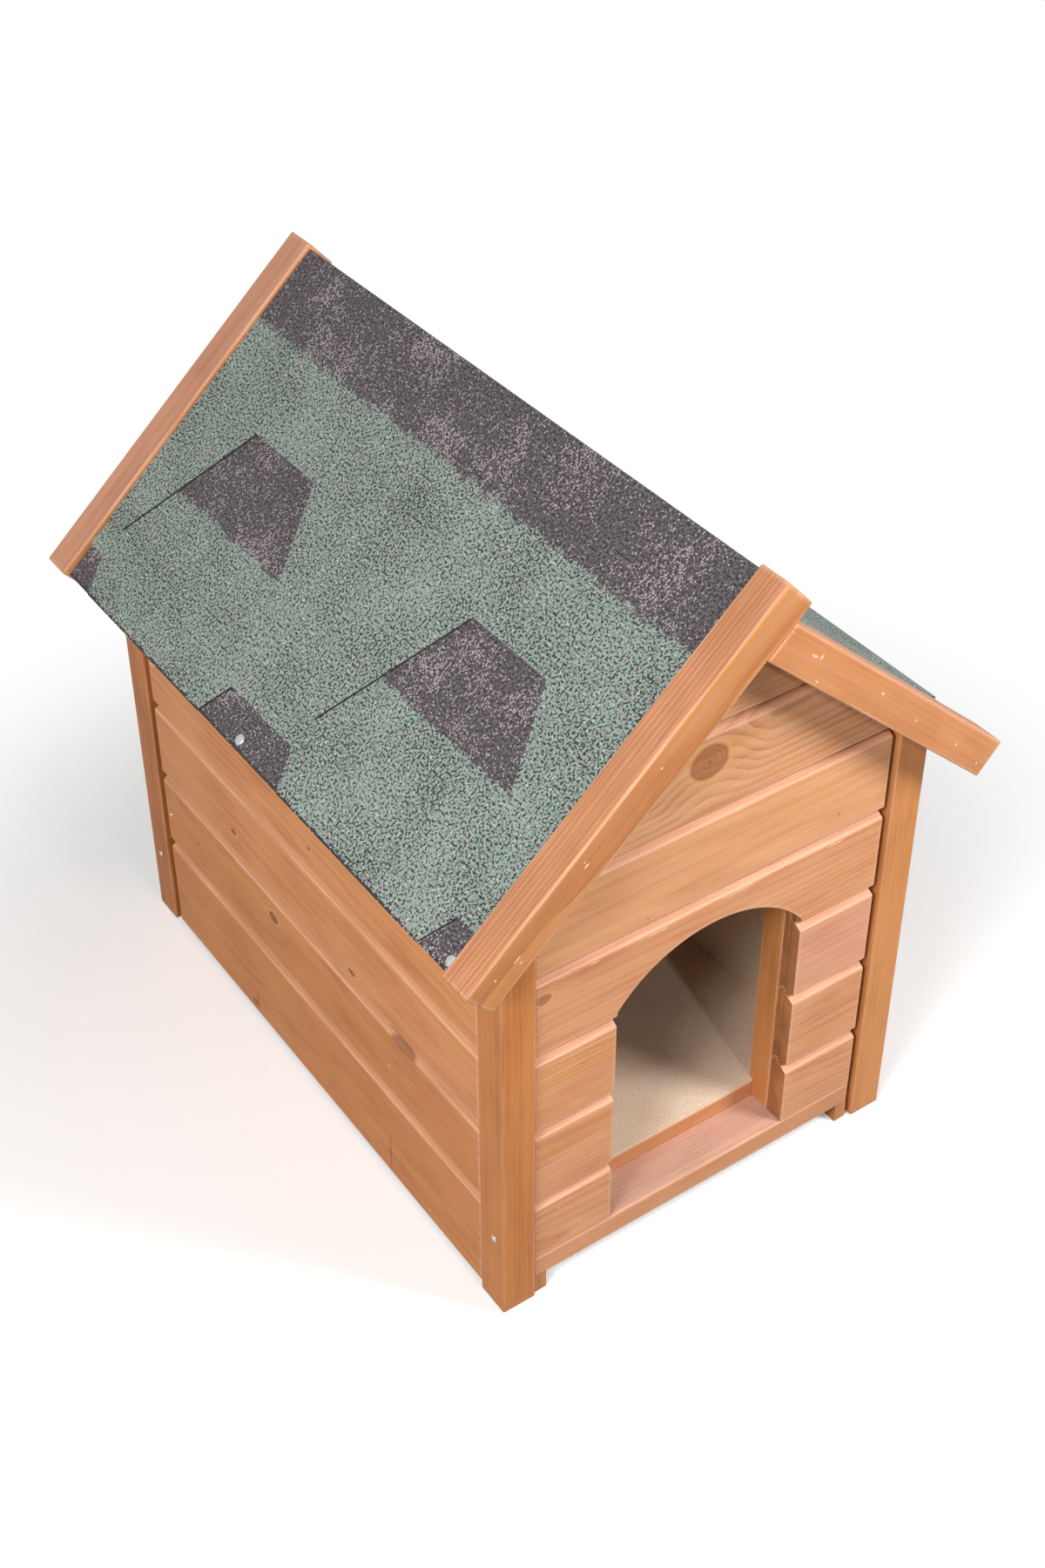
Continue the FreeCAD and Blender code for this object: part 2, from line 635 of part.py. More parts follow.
def cut_notches(body, side, notch_top, centres):
    """Hexagonal strips: notches widen downwards and run out past the tab ends."""
    overrun = "1.05"
    outlines = []
    for centre in centres:
        low = size("%s - %s * {notch_height}" % (notch_top, overrun))
        reach = size("{notch_top_width} / 2 + %s * {notch_slant}" % overrun)
        outlines.append([(notch_top, size(centre + " - {notch_top_width} / 2")),
                         (notch_top, size(centre + " + {notch_top_width} / 2")),
                         (low, size("%s + %s" % (centre, reach))), (low, size("%s - %s" % (centre, reach)))])
    tilt = PITCH if side < 0 else size("180 - {roof_pitch}")
    cut_through(body, draw(body, body.Label + "_notches", "XY_Plane", outlines, tilt=tilt))


def lower_course(side):
    """Laid over the starter strip, dropping on to the deck above it."""
    label = "shingle_lower_" + ("left" if side < 0 else "right")
    lap = size(SHINGLE_EAVE + " + {starter_height} + {felt_clearance}")
    landing = size(lap + " + {felt_ramp}")
    ends = (DECK_RIDGE_END, DECK_RIDGE_END)
    if side > 0:
        ends = (run_at_left_level(ROOF_SEAT, DECK_TOP), run_at_left_level(ROOF_SEAT, FELT_1))
    strip = slope_piece(label, side, [(SHINGLE_EAVE, FELT_1), (lap, FELT_1), (landing, DECK_TOP),
                                      (ends[0], DECK_TOP), (ends[1], FELT_1), (landing, FELT_1),
                                      (lap, FELT_2), (SHINGLE_EAVE, FELT_2)])
    cut_notches(strip, side, LOWER_NOTCH_TOP, ("0", size("-{shingle_pitch}"), "Sizes.shingle_pitch"))
    return {label: strip}


def top_course_left():
    strip = slope_piece("shingle_top_left", -1, [(TAB_END, FELT_1), (SHINGLE_RIDGE_END, FELT_1),
                                                 (SHINGLE_RIDGE_END, FELT_2), (TAB_END, FELT_2)])
    cut_notches(strip, -1, NOTCH_TOP, (size("-{shingle_pitch} / 2"), size("{shingle_pitch} / 2")))
    return {"shingle_top_left": strip}


def top_course_right():
    """The strip leaves the slope below the ridge and lies up over the left deck's end."""
    close = size(DECK_RIDGE_END + " + {felt_clearance}")
    far = size(close + " + {shingle_thickness}")
    head = size(FELT_1 + " - {felt_clearance}")
    knee = size(DECK_UNDERSIDE + " - {shingle_thickness}")
    foot = size(seen_from_right(close, head)[0] + " - {ridge_drape}")
    strip = slope_piece("shingle_top_right", 1,
                        [(TAB_END, FELT_1), (foot, FELT_1), seen_from_right(close, knee),
                         seen_from_right(close, head), seen_from_right(far, head),
                         seen_from_right(far, knee), (foot, FELT_2), (TAB_END, FELT_2)])
    cut_notches(strip, 1, NOTCH_TOP, (size("-{shingle_pitch} / 2"), size("{shingle_pitch} / 2")))
    return {"shingle_top_right": strip}


def starter_strips():
    top = size(SHINGLE_EAVE + " + {starter_height}")
    section = [(SHINGLE_EAVE, DECK_TOP), (top, DECK_TOP), (top, FELT_1), (SHINGLE_EAVE, FELT_1)]
    strips = [slope_piece("starter_left", -1, section), slope_piece("starter_right", 1, section)]
    return {"starter_strips": group("starter_strips", strips)}


# ---------------------------------------------------------------- build, check, export
def build():
    pieces = {}
    for made in (front_boards(), rear_boards(), side_boards("left"), side_boards("right"),
                 corner_posts(), rails_and_feet(), jamb_battens(), corner_battens(), gable_rafters(),
                 side_frames(), linings(), floor_pieces(), decks(), barge_boards(),
                 starter_strips(), lower_course(-1), lower_course(1), top_course_left(), top_course_right()):
        pieces.update(made)
    document.recompute()
    return pieces


def check(pieces):
    for item in document.Objects:
        if "Invalid" in item.State or "Error" in item.State:
            raise RuntimeError(item.Label + " did not build")
    for label, piece in pieces.items():
        if piece.Label != label or piece.Shape.isNull() or not piece.Shape.isValid():
            raise RuntimeError(label + " has no sound shape")


def export(pieces):
    os.makedirs("parts", exist_ok=True)
    for label, piece in pieces.items():
        piece.Shape.exportStep("parts/%s.step" % label)


made = build()
check(made)
export(made)
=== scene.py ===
"""Looks of a small stained-pine dog house with an arched doorway and a roof of notched bitumen shingles.

Frame: +X to the right of someone facing the doorway, +Y towards the back, +Z up. Lengths in this file are
millimetres and the meshes are metres. A point of a roof slope is given by its run, the distance up the slope
from the foot of the perpendicular that the middle of the ground drops on it, and its level, the distance
from that middle square to the slope.
"""

import math
from functools import partial

import bpy
import numpy as np
from mathutils import Matrix, Vector


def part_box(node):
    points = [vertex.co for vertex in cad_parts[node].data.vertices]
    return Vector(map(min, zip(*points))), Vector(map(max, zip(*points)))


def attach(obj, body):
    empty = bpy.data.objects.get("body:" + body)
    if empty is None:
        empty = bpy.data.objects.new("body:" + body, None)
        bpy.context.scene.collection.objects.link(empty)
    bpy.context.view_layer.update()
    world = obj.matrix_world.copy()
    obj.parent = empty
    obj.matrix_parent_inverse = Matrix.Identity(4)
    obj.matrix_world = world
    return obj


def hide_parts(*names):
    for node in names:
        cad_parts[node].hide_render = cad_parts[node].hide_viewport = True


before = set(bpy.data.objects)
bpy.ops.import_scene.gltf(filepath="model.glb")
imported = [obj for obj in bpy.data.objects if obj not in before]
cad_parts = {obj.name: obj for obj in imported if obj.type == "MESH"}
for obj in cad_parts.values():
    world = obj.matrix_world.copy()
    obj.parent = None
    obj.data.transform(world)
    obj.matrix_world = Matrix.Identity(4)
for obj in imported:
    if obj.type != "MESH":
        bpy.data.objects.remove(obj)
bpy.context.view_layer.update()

MM = 0.001
PITCH = math.radians(42.0)
SIN, COS = math.sin(PITCH), math.cos(PITCH)

# ---------------- places on the frame (mm)
END_FACE, SIDE_FACE = 305.1, 205.5           # faces of the boards, from the middle of the house
BOARD = 19.3                                 # board thickness
JOINTS = 108.0 + 84.3 * np.arange(-1, 7)     # JOINTS[k] is the joint over course k
FIRST_FOOT, SIDE_FOOT = 42.0, 5.5            # feet of the lowest boards of the end and side walls
END_SPAN, SIDE_SPAN = (-173.8, 170.4), (-267.5, 273.0)
DOOR_LEFT, DOOR_RIGHT = -96.0, 91.0
DOOR_MIDDLE, ARCH_RADIUS, ARCH_CENTRE = -2.5, 117.0, 215.3
GAP = 0.3                                    # between timbers that meet at a slant
ROOF_SEAT = 629.0 * COS - GAP
ROOF_STARTS = (473.0, 476.5)                 # just over where the slopes start to cut the end walls
POST_INSIDE, POST_OUTSIDE, POST_DEEP = 175.5, 207.5, 33.0
BARGE_THICK, BARGE_WIDE, BARGE_TOP = 34.0, 31.0, 485.54
FELT, FELT_1, FELT_2 = 2.5, 478.94, 481.44   # thickness, levels of the first and the second layer
ROOF_HALF_LENGTH = 308.2
EAVE_RUN, LOWER_NOTCH_TOP = 91.97, 126.47    # runs of the felt's lower edge and the lower notches' tops
TAB_FOOT, TAB_TOP = 154.67, 296.67           # runs of the upper course's tabs
NOTCH_HALF, NOTCH_DEEP, NOTCH_SPREAD = 48.5, 142.0, 69.3     # half a notch's top, its depth, its splay


# ================ meshes
def new_mesh_object(name, points, faces, smooth=True, wear_and_shade=None, uv=None):
    """Puts points (n, 3) in mm and lists of corner numbers into a mesh in metres, with a number for
    each point, 1 on an arris that hands and tools have rubbed and below nought in a joint, where shade
    is painted; uv is a pair for each point."""
    mesh = bpy.data.meshes.new(name)
    mesh.from_pydata((np.asarray(points) * MM).tolist(), [], [list(map(int, f)) for f in faces])
    if wear_and_shade is not None:
        mesh.attributes.new("wear_and_shade", "FLOAT", "POINT").data.foreach_set("value", np.asarray(wear_and_shade, float))
    if uv is not None:
        corner = np.empty(len(mesh.loops), int)
        mesh.loops.foreach_get("vertex_index", corner)
        mesh.uv_layers.new(name="slope").data.foreach_set("uv", (np.asarray(uv)[corner] * MM).ravel())
    mesh.polygons.foreach_set("use_smooth", [smooth] * len(mesh.polygons))
    piece = bpy.data.objects.new(name, mesh)
    bpy.context.scene.collection.objects.link(piece)
    return piece


def joined(name, parts):
    """One object from several parts of points, faces and numbers of rubbing and painted joint shade: corner
    numbers shift by the points before.
    """
    starts = np.cumsum([0] + [len(p[0]) for p in parts])
    points = np.concatenate([p[0] for p in parts])
    faces = [np.asarray(f) + start for start, p in zip(starts, parts) for f in p[1]]
    return new_mesh_object(name, points, faces, wear_and_shade=np.concatenate([p[2] for p in parts]))


def signed_area(outline):
    """Twice the area in a closed outline (n, 2), the sum of x y' - y x', above nought if it runs
    anticlockwise."""
    x, y = outline.T
    return np.sum(x * np.roll(y, -1) - y * np.roll(x, -1))


def ring_quads(rows, count):
    """Corner numbers (n, 4) of the cells between rows of points, each row a closed ring of count."""
    i, k = np.arange(count), np.arange(rows - 1)[:, None]
    j = (i + 1) % count
    return np.stack([k * count + i, k * count + j, (k + 1) * count + j, (k + 1) * count + i], -1).reshape(-1, 4)


def eased(corners, radius=1.0, steps=3, reach=3.0, sharp=()):
    """A closed outline (n, 2) with its outward corners rounded, all but the sharp ones. Each becomes
    points of the curve (1-t)^2 A + 2t(1-t) C + t^2 B from A to B, which lie a radius from corner C on
    its two sides. A further point each side, at the reach, keeps the rubbing to the arris. Returns
    points, and a number for each: 1 on a rubbed arris, below nought at an inward corner, where shade
    is painted."""
    corners = np.asarray(corners, float)
    before, after = np.roll(corners, 1, 0) - corners, np.roll(corners, -1, 0) - corners
    length_before, length_after = np.hypot(*before.T), np.hypot(*after.T)
    turn = before[:, 1] * after[:, 0] - before[:, 0] * after[:, 1]
    bent = (abs(turn) > 0.02 * length_before * length_after)[:, None]
    outward = (turn * signed_area(corners) > 0)[:, None] & bent
    outward[list(sharp)] = False
    before, after = before / length_before[:, None], after / length_after[:, None]
    near = np.minimum(radius, 0.4 * np.minimum(length_before, length_after))[:, None] * outward
    t = np.linspace(0, 1, steps + 1)[None, :, None]
    a, b = (corners + before * near)[:, None], (corners + after * near)[:, None]
    curve = (1 - t) ** 2 * a + 2 * t * (1 - t) * corners[:, None] + t ** 2 * b
    far_a = corners + before * np.minimum(reach, 0.45 * length_before)[:, None]
    far_b = corners + after * np.minimum(reach, 0.45 * length_after)[:, None]
    points = np.concatenate([far_a[:, None], curve, far_b[:, None]], 1)
    corner_wear_and_shade = np.zeros(points.shape[:2])
    corner_wear_and_shade[:, 1:-1] = np.where(outward, 1, -1.0 * bent)     # below nought: a joint, where shade is painted
    keep = np.ones(corner_wear_and_shade.shape, bool)
    keep[:, 2:-1] = outward                               # an inward corner stays a single point
    return points[keep], corner_wear_and_shade[keep]


def outward_of(outline):
    """Unit normals of a closed outline (n, 2), square to the line between each point's neighbours."""
    chord = np.roll(outline, -1, 0) - np.roll(outline, 1, 0)
    normal = np.stack([chord[:, 1], -chord[:, 0]], 1) * np.sign(signed_area(outline))
    return normal / np.maximum(np.hypot(*normal.T), 1e-9)[:, None]


def timber(corners, origin, along, across, up, cuts, radius=1.0, stations=(), shape=None, sharp=()):
    """A section carried in a straight line. Its points are origin + u across + v up + s along, and s
    runs between the half-spaces normal . p <= offset in cuts: from the greatest bound of those that
    face back, to the least of those that face on. Over the first and last radius, s = r (1 - cos a)
    while the section is drawn in by r (1 - sin a), which eases the ends. A further ring each side
    keeps the rubbing to the ends. shape(points) may move points at the end. Returns points, faces,
    and a number for each point, 1 where rubbed and below nought in a joint, where shade is painted."""
    outline, corner_wear_and_shade = eased(corners, radius, sharp=sharp)
    origin, along, across, up = (np.asarray(v, float) for v in (origin, along, across, up))
    angle = np.radians([12.0, 50.0, 90.0])
    inset, advance = radius * (1 - np.sin(angle)), radius * (1 - np.cos(angle))
    full, further = np.zeros(len(stations)), radius + 2.5     # the whole section; where the wear ends
    inset = np.concatenate([inset, [0.0], full, [0.0], inset[::-1]])
    rings = outline[None] - inset[:, None, None] * outward_of(outline)[None]
    base = origin + rings[..., :1] * across + rings[..., 1:] * up
    start, end = np.full(rings.shape[:2], -1e6), np.full(rings.shape[:2], 1e6)
    for normal, offset in cuts:
        normal = np.asarray(normal, float)
        bound = (offset - base @ normal) / (normal @ along)
        if normal @ along > 0:
            end = np.minimum(end, bound)
        else:
            start = np.maximum(start, bound)
    share = np.concatenate([np.zeros(4), stations, np.ones(4)])
    offset = np.concatenate([advance, [further], full, [-further], -advance[::-1]])
    s = start + (end - start) * share[:, None] + offset[:, None]
    points = base + s[..., None] * along
    if shape is not None:
        points = shape(points)
    rubbed = np.concatenate([[0.8, 1.0, 1.0, 0.0], full, [0.0, 1.0, 1.0, 0.8]])
    wear_and_shade = np.where(corner_wear_and_shade[None] < 0, corner_wear_and_shade[None], np.maximum(rubbed[:, None], corner_wear_and_shade[None]))
    count, rows = len(outline), len(share)
    quads = ring_quads(rows, count)
    caps = [np.arange(count)[::-1], (rows - 1) * count + np.arange(count)]
    if signed_area(outline) * np.cross(across, up) @ along < 0:
        quads, caps = quads[:, ::-1], [cap[::-1] for cap in caps]
    return points.reshape(-1, 3), list(quads) + caps, wear_and_shade.ravel()


def batten(low, high, along, radius, cuts=()):
    """A rectangular piece between two corners, eased all round, its length along one axis."""
    low, high = np.asarray(low, float), np.asarray(high, float)
    a = "xyz".index(along)
    b, c = (a + 1) % 3, (a + 2) % 3
    axes = np.eye(3)
    corners = [(low[b], low[c]), (high[b], low[c]), (high[b], high[c]), (low[b], high[c])]
    ends = [(-axes[a], -low[a]), (axes[a], high[a])]
    return timber(corners, (0, 0, 0), axes[a], axes[b], axes[c], ends + list(cuts), radius)


# ================ walls of tongued and grooved boards
WALLS = {  # face point, along, inwards: left to right as seen from outside
    "front": ((0, -END_FACE, 0), (1, 0, 0), (0, 1, 0)), "rear": ((0, END_FACE, 0), (-1, 0, 0), (0, -1, 0)),
    "left": ((-SIDE_FACE, 0, 0), (0, -1, 0), (1, 0, 0)), "right": ((SIDE_FACE, 0, 0), (0, 1, 0), (-1, 0, 0))}
ROOF_CUTS = [((-SIN, 0, COS), ROOF_SEAT), ((SIN, 0, COS), ROOF_SEAT)]


def square_foot(z):
    """Lower edge of a board, (depth, height) from the face inwards, sawn square."""
    return [(0, z), (BOARD, z)]


def grooved_foot(z):
    """Lower edge of a board, (depth, height) from the face inwards: bevel, then the groove."""
    return [(0, z + 6), (8, z), (10.7, z), (10.7, z + 6.3), (16.3, z + 6.3), (16.3, z), (BOARD, z)]


def tongued_head(z):
    """Upper edge of a board, from the back to the face: tongue, then bevel."""
    return [(BOARD, z), (16, z), (16, z + 6), (11, z + 6), (11, z), (8, z), (0, z - 5)]


def bevelled_head():
    """Upper edge of a side wall's top board, from the back to the face, along the roof's slope."""
    return [(depth, (ROOF_SEAT - (SIDE_FACE - depth) * SIN) / COS) for depth in (BOARD, 0)]


def wall_board(wall, foot, head, span, **more):
    """A board of a wall between two distances along it, and under the roof if it is an end wall."""
    face, along, inwards = (np.array(v, float) for v in WALLS[wall])
    cuts = [(-along, -span[0]), (along, span[1])]
    corners = foot + head
    if wall in ("front", "rear"):
        cuts += ROOF_CUTS
        corners = broken_at(corners, ROOF_STARTS)
    # the tongue and the groove stay sharp
    hidden = [i for i, corner in enumerate(corners) if 0.5 < corner[0] < BOARD - 0.5]
    return timber(corners, face, along, inwards, (0, 0, 1), cuts, radius=0.9, sharp=hidden, **more)


def broken_at(corners, heights):
    """The same outline with a further point wherever an upright side passes one of the heights."""
    out = []
    for (a, b), (c, d) in zip(corners, corners[1:] + corners[:1]):
        out.append((a, b))
        passed = sorted(h for h in heights if min(b, d) + 1 < h < max(b, d) - 1 and abs(a - c) < 0.1)
        out += [(a, h) for h in (passed if d > b else passed[::-1])]
    return out


def under_arch(points, radius=1.2):
    """Lifts what hangs in the doorway to its outline: z >= centre + sqrt(R^2 - (x - middle)^2), with
    the face's arris rounded by the quarter circle lift = r - sqrt(r^2 - (r - depth)^2). The points of
    the face just over the board's foot stay up to 3 mm over the arch, which keeps the rubbed arris there."""
    x, y, z = points[..., 0], points[..., 1], points[..., 2]
    inside = (x > DOOR_LEFT - 0.01) & (x < DOOR_RIGHT + 0.01)
    arch = ARCH_CENTRE + np.sqrt(np.maximum(ARCH_RADIUS ** 2 - (x - DOOR_MIDDLE) ** 2, 0))
    short = np.clip(radius - (y + END_FACE), 0, radius)
    arch = arch + radius - np.sqrt(radius * radius - short * short) + np.clip(z - JOINTS[3] - 6, 0, 3)
    points = points.copy()
    points[..., 2] = np.where(inside, np.maximum(z, arch), z)
    return points


def wall_boards():
    """Every board that is a node of the frame, with eased arrises: node, part, wall."""
    for course in range(1, 8):
        foot = square_foot(FIRST_FOOT) if course == 1 else grooved_foot(JOINTS[course - 1])
        head = square_foot(JOINTS[course])[::-1] if course == 7 else tongued_head(JOINTS[course])
        yield "rear_board_%d" % course, wall_board("rear", foot, head, END_SPAN), "rear"
        if course <= 3:
            for hand, span in (("left", (END_SPAN[0], DOOR_LEFT)), ("right", (DOOR_RIGHT, END_SPAN[1]))):
                yield "front_board_%d_%s" % (course, hand), wall_board("front", foot, head, span), "front"
        elif course == 4:
            x = np.concatenate([[DOOR_LEFT - 3, DOOR_LEFT - 0.02, DOOR_LEFT],
                                np.linspace(DOOR_LEFT + 1.5, DOOR_RIGHT - 1.5, 60),
                                [DOOR_RIGHT, DOOR_RIGHT + 0.02, DOOR_RIGHT + 3]])
            shares = (x - END_SPAN[0]) / (END_SPAN[1] - END_SPAN[0])
            part = wall_board("front", foot, head, END_SPAN, stations=shares, shape=under_arch)
            yield "front_board_arch", part, "front"
        else:
            yield "front_gable_board_%d" % (8 - course), wall_board("front", foot, head, END_SPAN), "front"
    for wall in ("left", "right"):
        for course in range(1, 6):
            foot = square_foot(SIDE_FOOT) if course == 1 else grooved_foot(JOINTS[course - 1])
            head = bevelled_head() if course == 5 else tongued_head(JOINTS[course])
            yield "%s_board_%d" % (wall, course), wall_board(wall, foot, head, SIDE_SPAN), wall


# ================ colours and materials
def sRGB(text):
    """The linear colour of an sRGB hex value."""
    value = np.array([int(text[i:i + 2], 16) for i in (1, 3, 5)]) / 255
    return (*np.where(value <= 0.04045, value / 12.92, ((value + 0.055) / 1.055) ** 2.4).tolist(), 1.0)


def add_node(owner, kind, inputs=(), out=0, stops=(), **settings):
    """Adds a node to a material or world. Its inputs are values, sRGB hex values or other nodes'
    outputs, in order or by name or number. Stops are a ramp's (position, hex value or grey level). A
    setting that isn't the node's own is its ramp's. Returns one output, or all of them for None."""
    tree = owner.node_tree
    node = tree.nodes.new("ShaderNode" + kind)
    for key, value in settings.items():
        setattr(node if hasattr(node, key) else node.color_ramp, key, value)
    elements = node.color_ramp.elements if stops else ()
    while len(elements) < len(stops):
        elements.new(0.5)
    for element, (place, colour) in zip(elements, stops):
        element.position = place
        element.color = sRGB(colour) if isinstance(colour, str) else (colour, colour, colour, 1)
    for key, value in inputs.items() if isinstance(inputs, dict) else enumerate(inputs):
        if isinstance(value, bpy.types.NodeSocket):
            tree.links.new(value, node.inputs[key])
        else:
            node.inputs[key].default_value = sRGB(value) if isinstance(value, str) else value
    return node.outputs if out is None else node.outputs[out]


def new_nodes(owner):
    """Empties the nodes of a material or world. Returns it, and add_node for it."""
    owner.use_nodes = True
    owner.node_tree.nodes.clear()
    return owner, partial(add_node, owner)


def surfaced(material, inputs):
    """Ends a material with these inputs on a Principled surface."""
    add_node(material, "OutputMaterial", {"Surface": add_node(material, "BsdfPrincipled", inputs)}, None)
    return material


COLOURS = {"out": 2, "data_type": "RGBA"}      # a Mix node for colours: share 0, under 6, over 7
GRAIN = {"x": (0, 0, 0), "y": (0, 0, 90), "z": (0, -90, 0), "left slope": (0, -42, 0), "right slope": (0, 42, 0)}
STAINS_AND_PAINTED_LIGHT = {  # late wood, middle, early wood: amber stain on softwood, measured under plain light, and copies of it made lighter, darker or rosier to paint light, shade and sheen
    "front": ("#B36C42", "#D2946A", "#E1A882"),
    # a rosier copy of the front stain: partly one board's own tone, partly a painted sheen
    "rosy": ("#B9765A", "#D6997A", "#E4AE92"),
    "gable": ("#B57A4E", "#D89C70", "#E5B186"),
    # a darker copy of the gable stain, which paints shade on the gable
    "gable low": ("#A86C42", "#D0966C", "#E2B088"),
    "side": ("#A65E2C", "#D28B58", "#E0A26C"),
    # lighter and darker copies of the side stain, which paint light high on the side wall and shade low down
    "side top": ("#B06C36", "#DA9A66", "#E6AE7C"),
    "side low": ("#9C5622", "#C88049", "#D8965A"),
    "post": ("#944E24", "#BF7740", "#CE8850"),
    "light post": ("#A0602E", "#CA8650", "#D89A64"),
    "rear post": ("#8C4C22", "#B06A38", "#C47E46"),
    "barge": ("#A26236", "#C38356", "#D59970"),
    "lined barge": ("#9B5C31", "#BB7B4E", "#CD9166"),
    "rail": ("#AC6C42", "#D0926A", "#E2A886"),
    "inner": ("#A26236", "#BE7E4E", "#CB9060")}
RING_SCALE = 0.31416                           # scale of a wave whose rings are 1 mm wide
CROOKED = 5.0                                  # how far the grain wanders, its middle and its most (mm)


def nearest(add, local, marks):
    """How far a point of the surface is from the nearest mark, in sizes of that mark. Each mark is
    (along, height, length, width) in mm from the piece's place, and counts through the thickness."""
    least = None
    for along, height, length, width in marks:
        offset = add("VectorMath", (local, (along, 0, height)), operation="SUBTRACT")
        scaled = add("VectorMath", (offset, (1 / length, 0, 1 / width)), operation="MULTIPLY")
        far = add("VectorMath", (scaled,), "Value", operation="LENGTH")
        least = far if least is None else add("Math", (least, far), operation="MINIMUM")
    return least


def stained_pine(name, grain, place, stain="front", pith=(60.0, 0.0), ring=3.6, tilt=0.8, contrast=0.3,
                 knots=(), chips=(), dents=(), amber=0.3, seed=0.0, upper="#CE9475", rubbed=0.85,
                 brushed=0.55, heartwood="#96582F"):
    """Planed softwood under a thin satin stain: growth rings drawn as long lines and loops where the
    saw met them, brushed streaks and blotches where the stain took unevenly, dark pores, paler arrises
    where it wore thin, painted shade in the joints, and a painted sheen, paler and rosier, on faces
    that look up. The rings are circles
    about a pith at a depth and height from the piece's place, a little askew to it, so the faces and
    the sawn ends show the same timber. Knots and chips are (along, height, length, width)."""
    material, add = new_nodes(bpy.data.materials.new(name))
    point = add("TexCoord", out=None)
    turn = tuple(np.radians(GRAIN[grain]))
    local = add("Mapping", (point["Object"], tuple(np.array(place) * MM), turn, (MM, MM, MM)),
                vector_type="TEXTURE")         # mm along, across and up the grain
    shifted = add("VectorMath", (local, (seed * 31, seed * 17, seed * 7)))

    def spread(along, across):
        """The point in steps of so many mm along the grain and across it."""
        return add("VectorMath", (shifted, (1 / along, 1 / across, 1 / across)), operation="MULTIPLY")

    def clouds(along, across, detail=2.0, roughness=0.5, out="Fac"):
        """Soft noise from 0 to 1, mostly near the middle, in patches of this size."""
        return add("TexNoise", {"Vector": spread(along, across), "Scale": 1.0, "Detail": detail,
                                "Roughness": roughness}, out)

    # rings, which swing round the knots
    bend = add("VectorMath", (clouds(220, 40, out="Color"), (0, 2 * CROOKED, 2 * CROOKED), local),
               operation="MULTIPLY_ADD")
    knots = [(along, height + CROOKED, length, width) for along, height, length, width in knots]
    lean = math.tan(math.radians(tilt))
    centred = add("Mapping", {0: bend, "Location": (0, -pith[0] - CROOKED, -pith[1] - CROOKED),
                              "Rotation": (0, lean * 0.6, lean)})
    phase = 0.0
    for knot in knots:
        swing = add("MapRange", (nearest(add, bend, [knot]), 0.6, 4.2, 1.0, 0.0),
                    interpolation_type="SMOOTHERSTEP")
        phase = add("Math", (swing, 15.0, phase), operation="MULTIPLY_ADD")
    rings = add("TexWave", {"Vector": centred, "Scale": RING_SCALE / ring, "Distortion": 0.0,
                            "Phase Offset": phase},
                "Fac", wave_type="RINGS", rings_direction="X", wave_profile="SAW")
    late = add("ValToRGB", (rings,), stops=[(0.0, 0.0), (0.35, 0.15), (0.8, 0.8), (0.92, 1.0), (1.0, 0.0)])

    # brushed fibres, and stain that took unevenly in bands and blotches
    streak = clouds(70, 1.3, 3.0, 0.6)
    band = add("SeparateColor", (clouds(240, 9, out="Color"),), None)
    blotch = clouds(75, 30, 3.0)
    tone = add("Math", (band[1], -contrast * 1.6, -contrast * 0.2), operation="MULTIPLY_ADD")
    tone = add("Math", (late, tone), operation="MULTIPLY")
    for part, weight in ((streak, brushed), (band[0], 0.40), (blotch, 0.60)):
        tone = add("Math", (part, weight, tone), operation="MULTIPLY_ADD")
    tone = add("Math", (tone, brushed / 2 - contrast * 0.35), operation="SUBTRACT")
    colour = add("ValToRGB", (tone,), stops=list(zip((0.08, 0.5, 0.92), STAINS_AND_PAINTED_LIGHT[stain])))
    coats = [(add("MapRange", (band[2], 0.45, 0.68, 0.0, amber)), "#C88434")]     # share, colour

    if knots:      # an amber halo, then a heart with its own few rings
        far = add("Math", (nearest(add, bend, knots), 0.5), operation="MULTIPLY")
        for stops, tint in (([(0.0, 0.0), (0.47, 0.0), (0.54, 0.50), (0.62, 0.45), (0.74, 0.15), (0.95, 0.0)],
                             "#D9A466"),
                            ([(0.0, 1.0), (0.04, 0.9), (0.08, 0.60), (0.18, 0.74), (0.26, 0.60), (0.36, 0.74),
                              (0.43, 0.62), (0.48, 0.85), (0.52, 0.40), (0.58, 0.0)], heartwood)):
            coats.append((add("ValToRGB", (far,), stops=stops), tint))
    # faces that look up: a painted sheen, paler and rosier, in streaks along the fibres
    up = add("SeparateXYZ", (point["Normal"],), 2)
    up = add("MapRange", (up, 0.35, 0.8, 0.0, 0.75))
    painted_sheen_streaks = add("Math", (streak, brushed, tone), operation="MULTIPLY_ADD")
    painted_sheen_streaks = add("ValToRGB", (painted_sheen_streaks,), stops=[(0.45, 0.75), (0.75, 0.97), (0.85, 1.0), (1.0, 1.3)])
    coats.append((up, add("Mix", {0: 1.0, 6: painted_sheen_streaks, 7: upper}, blend_type="MULTIPLY", **COLOURS)))
    # arrises rubbed pale, and painted shade in the joints
    wear_and_shade = add("Attribute", out="Fac", attribute_name="wear_and_shade")
    rub = add("ValToRGB", (streak,), stops=[(0.40, 0.12 * rubbed), (0.60, rubbed)])
    coats.append((add("Math", (wear_and_shade, rub), operation="MULTIPLY", use_clamp=True), "#E3B091"))
    coats.append((add("Math", (wear_and_shade, -0.8), operation="MULTIPLY", use_clamp=True), "#6A3818"))
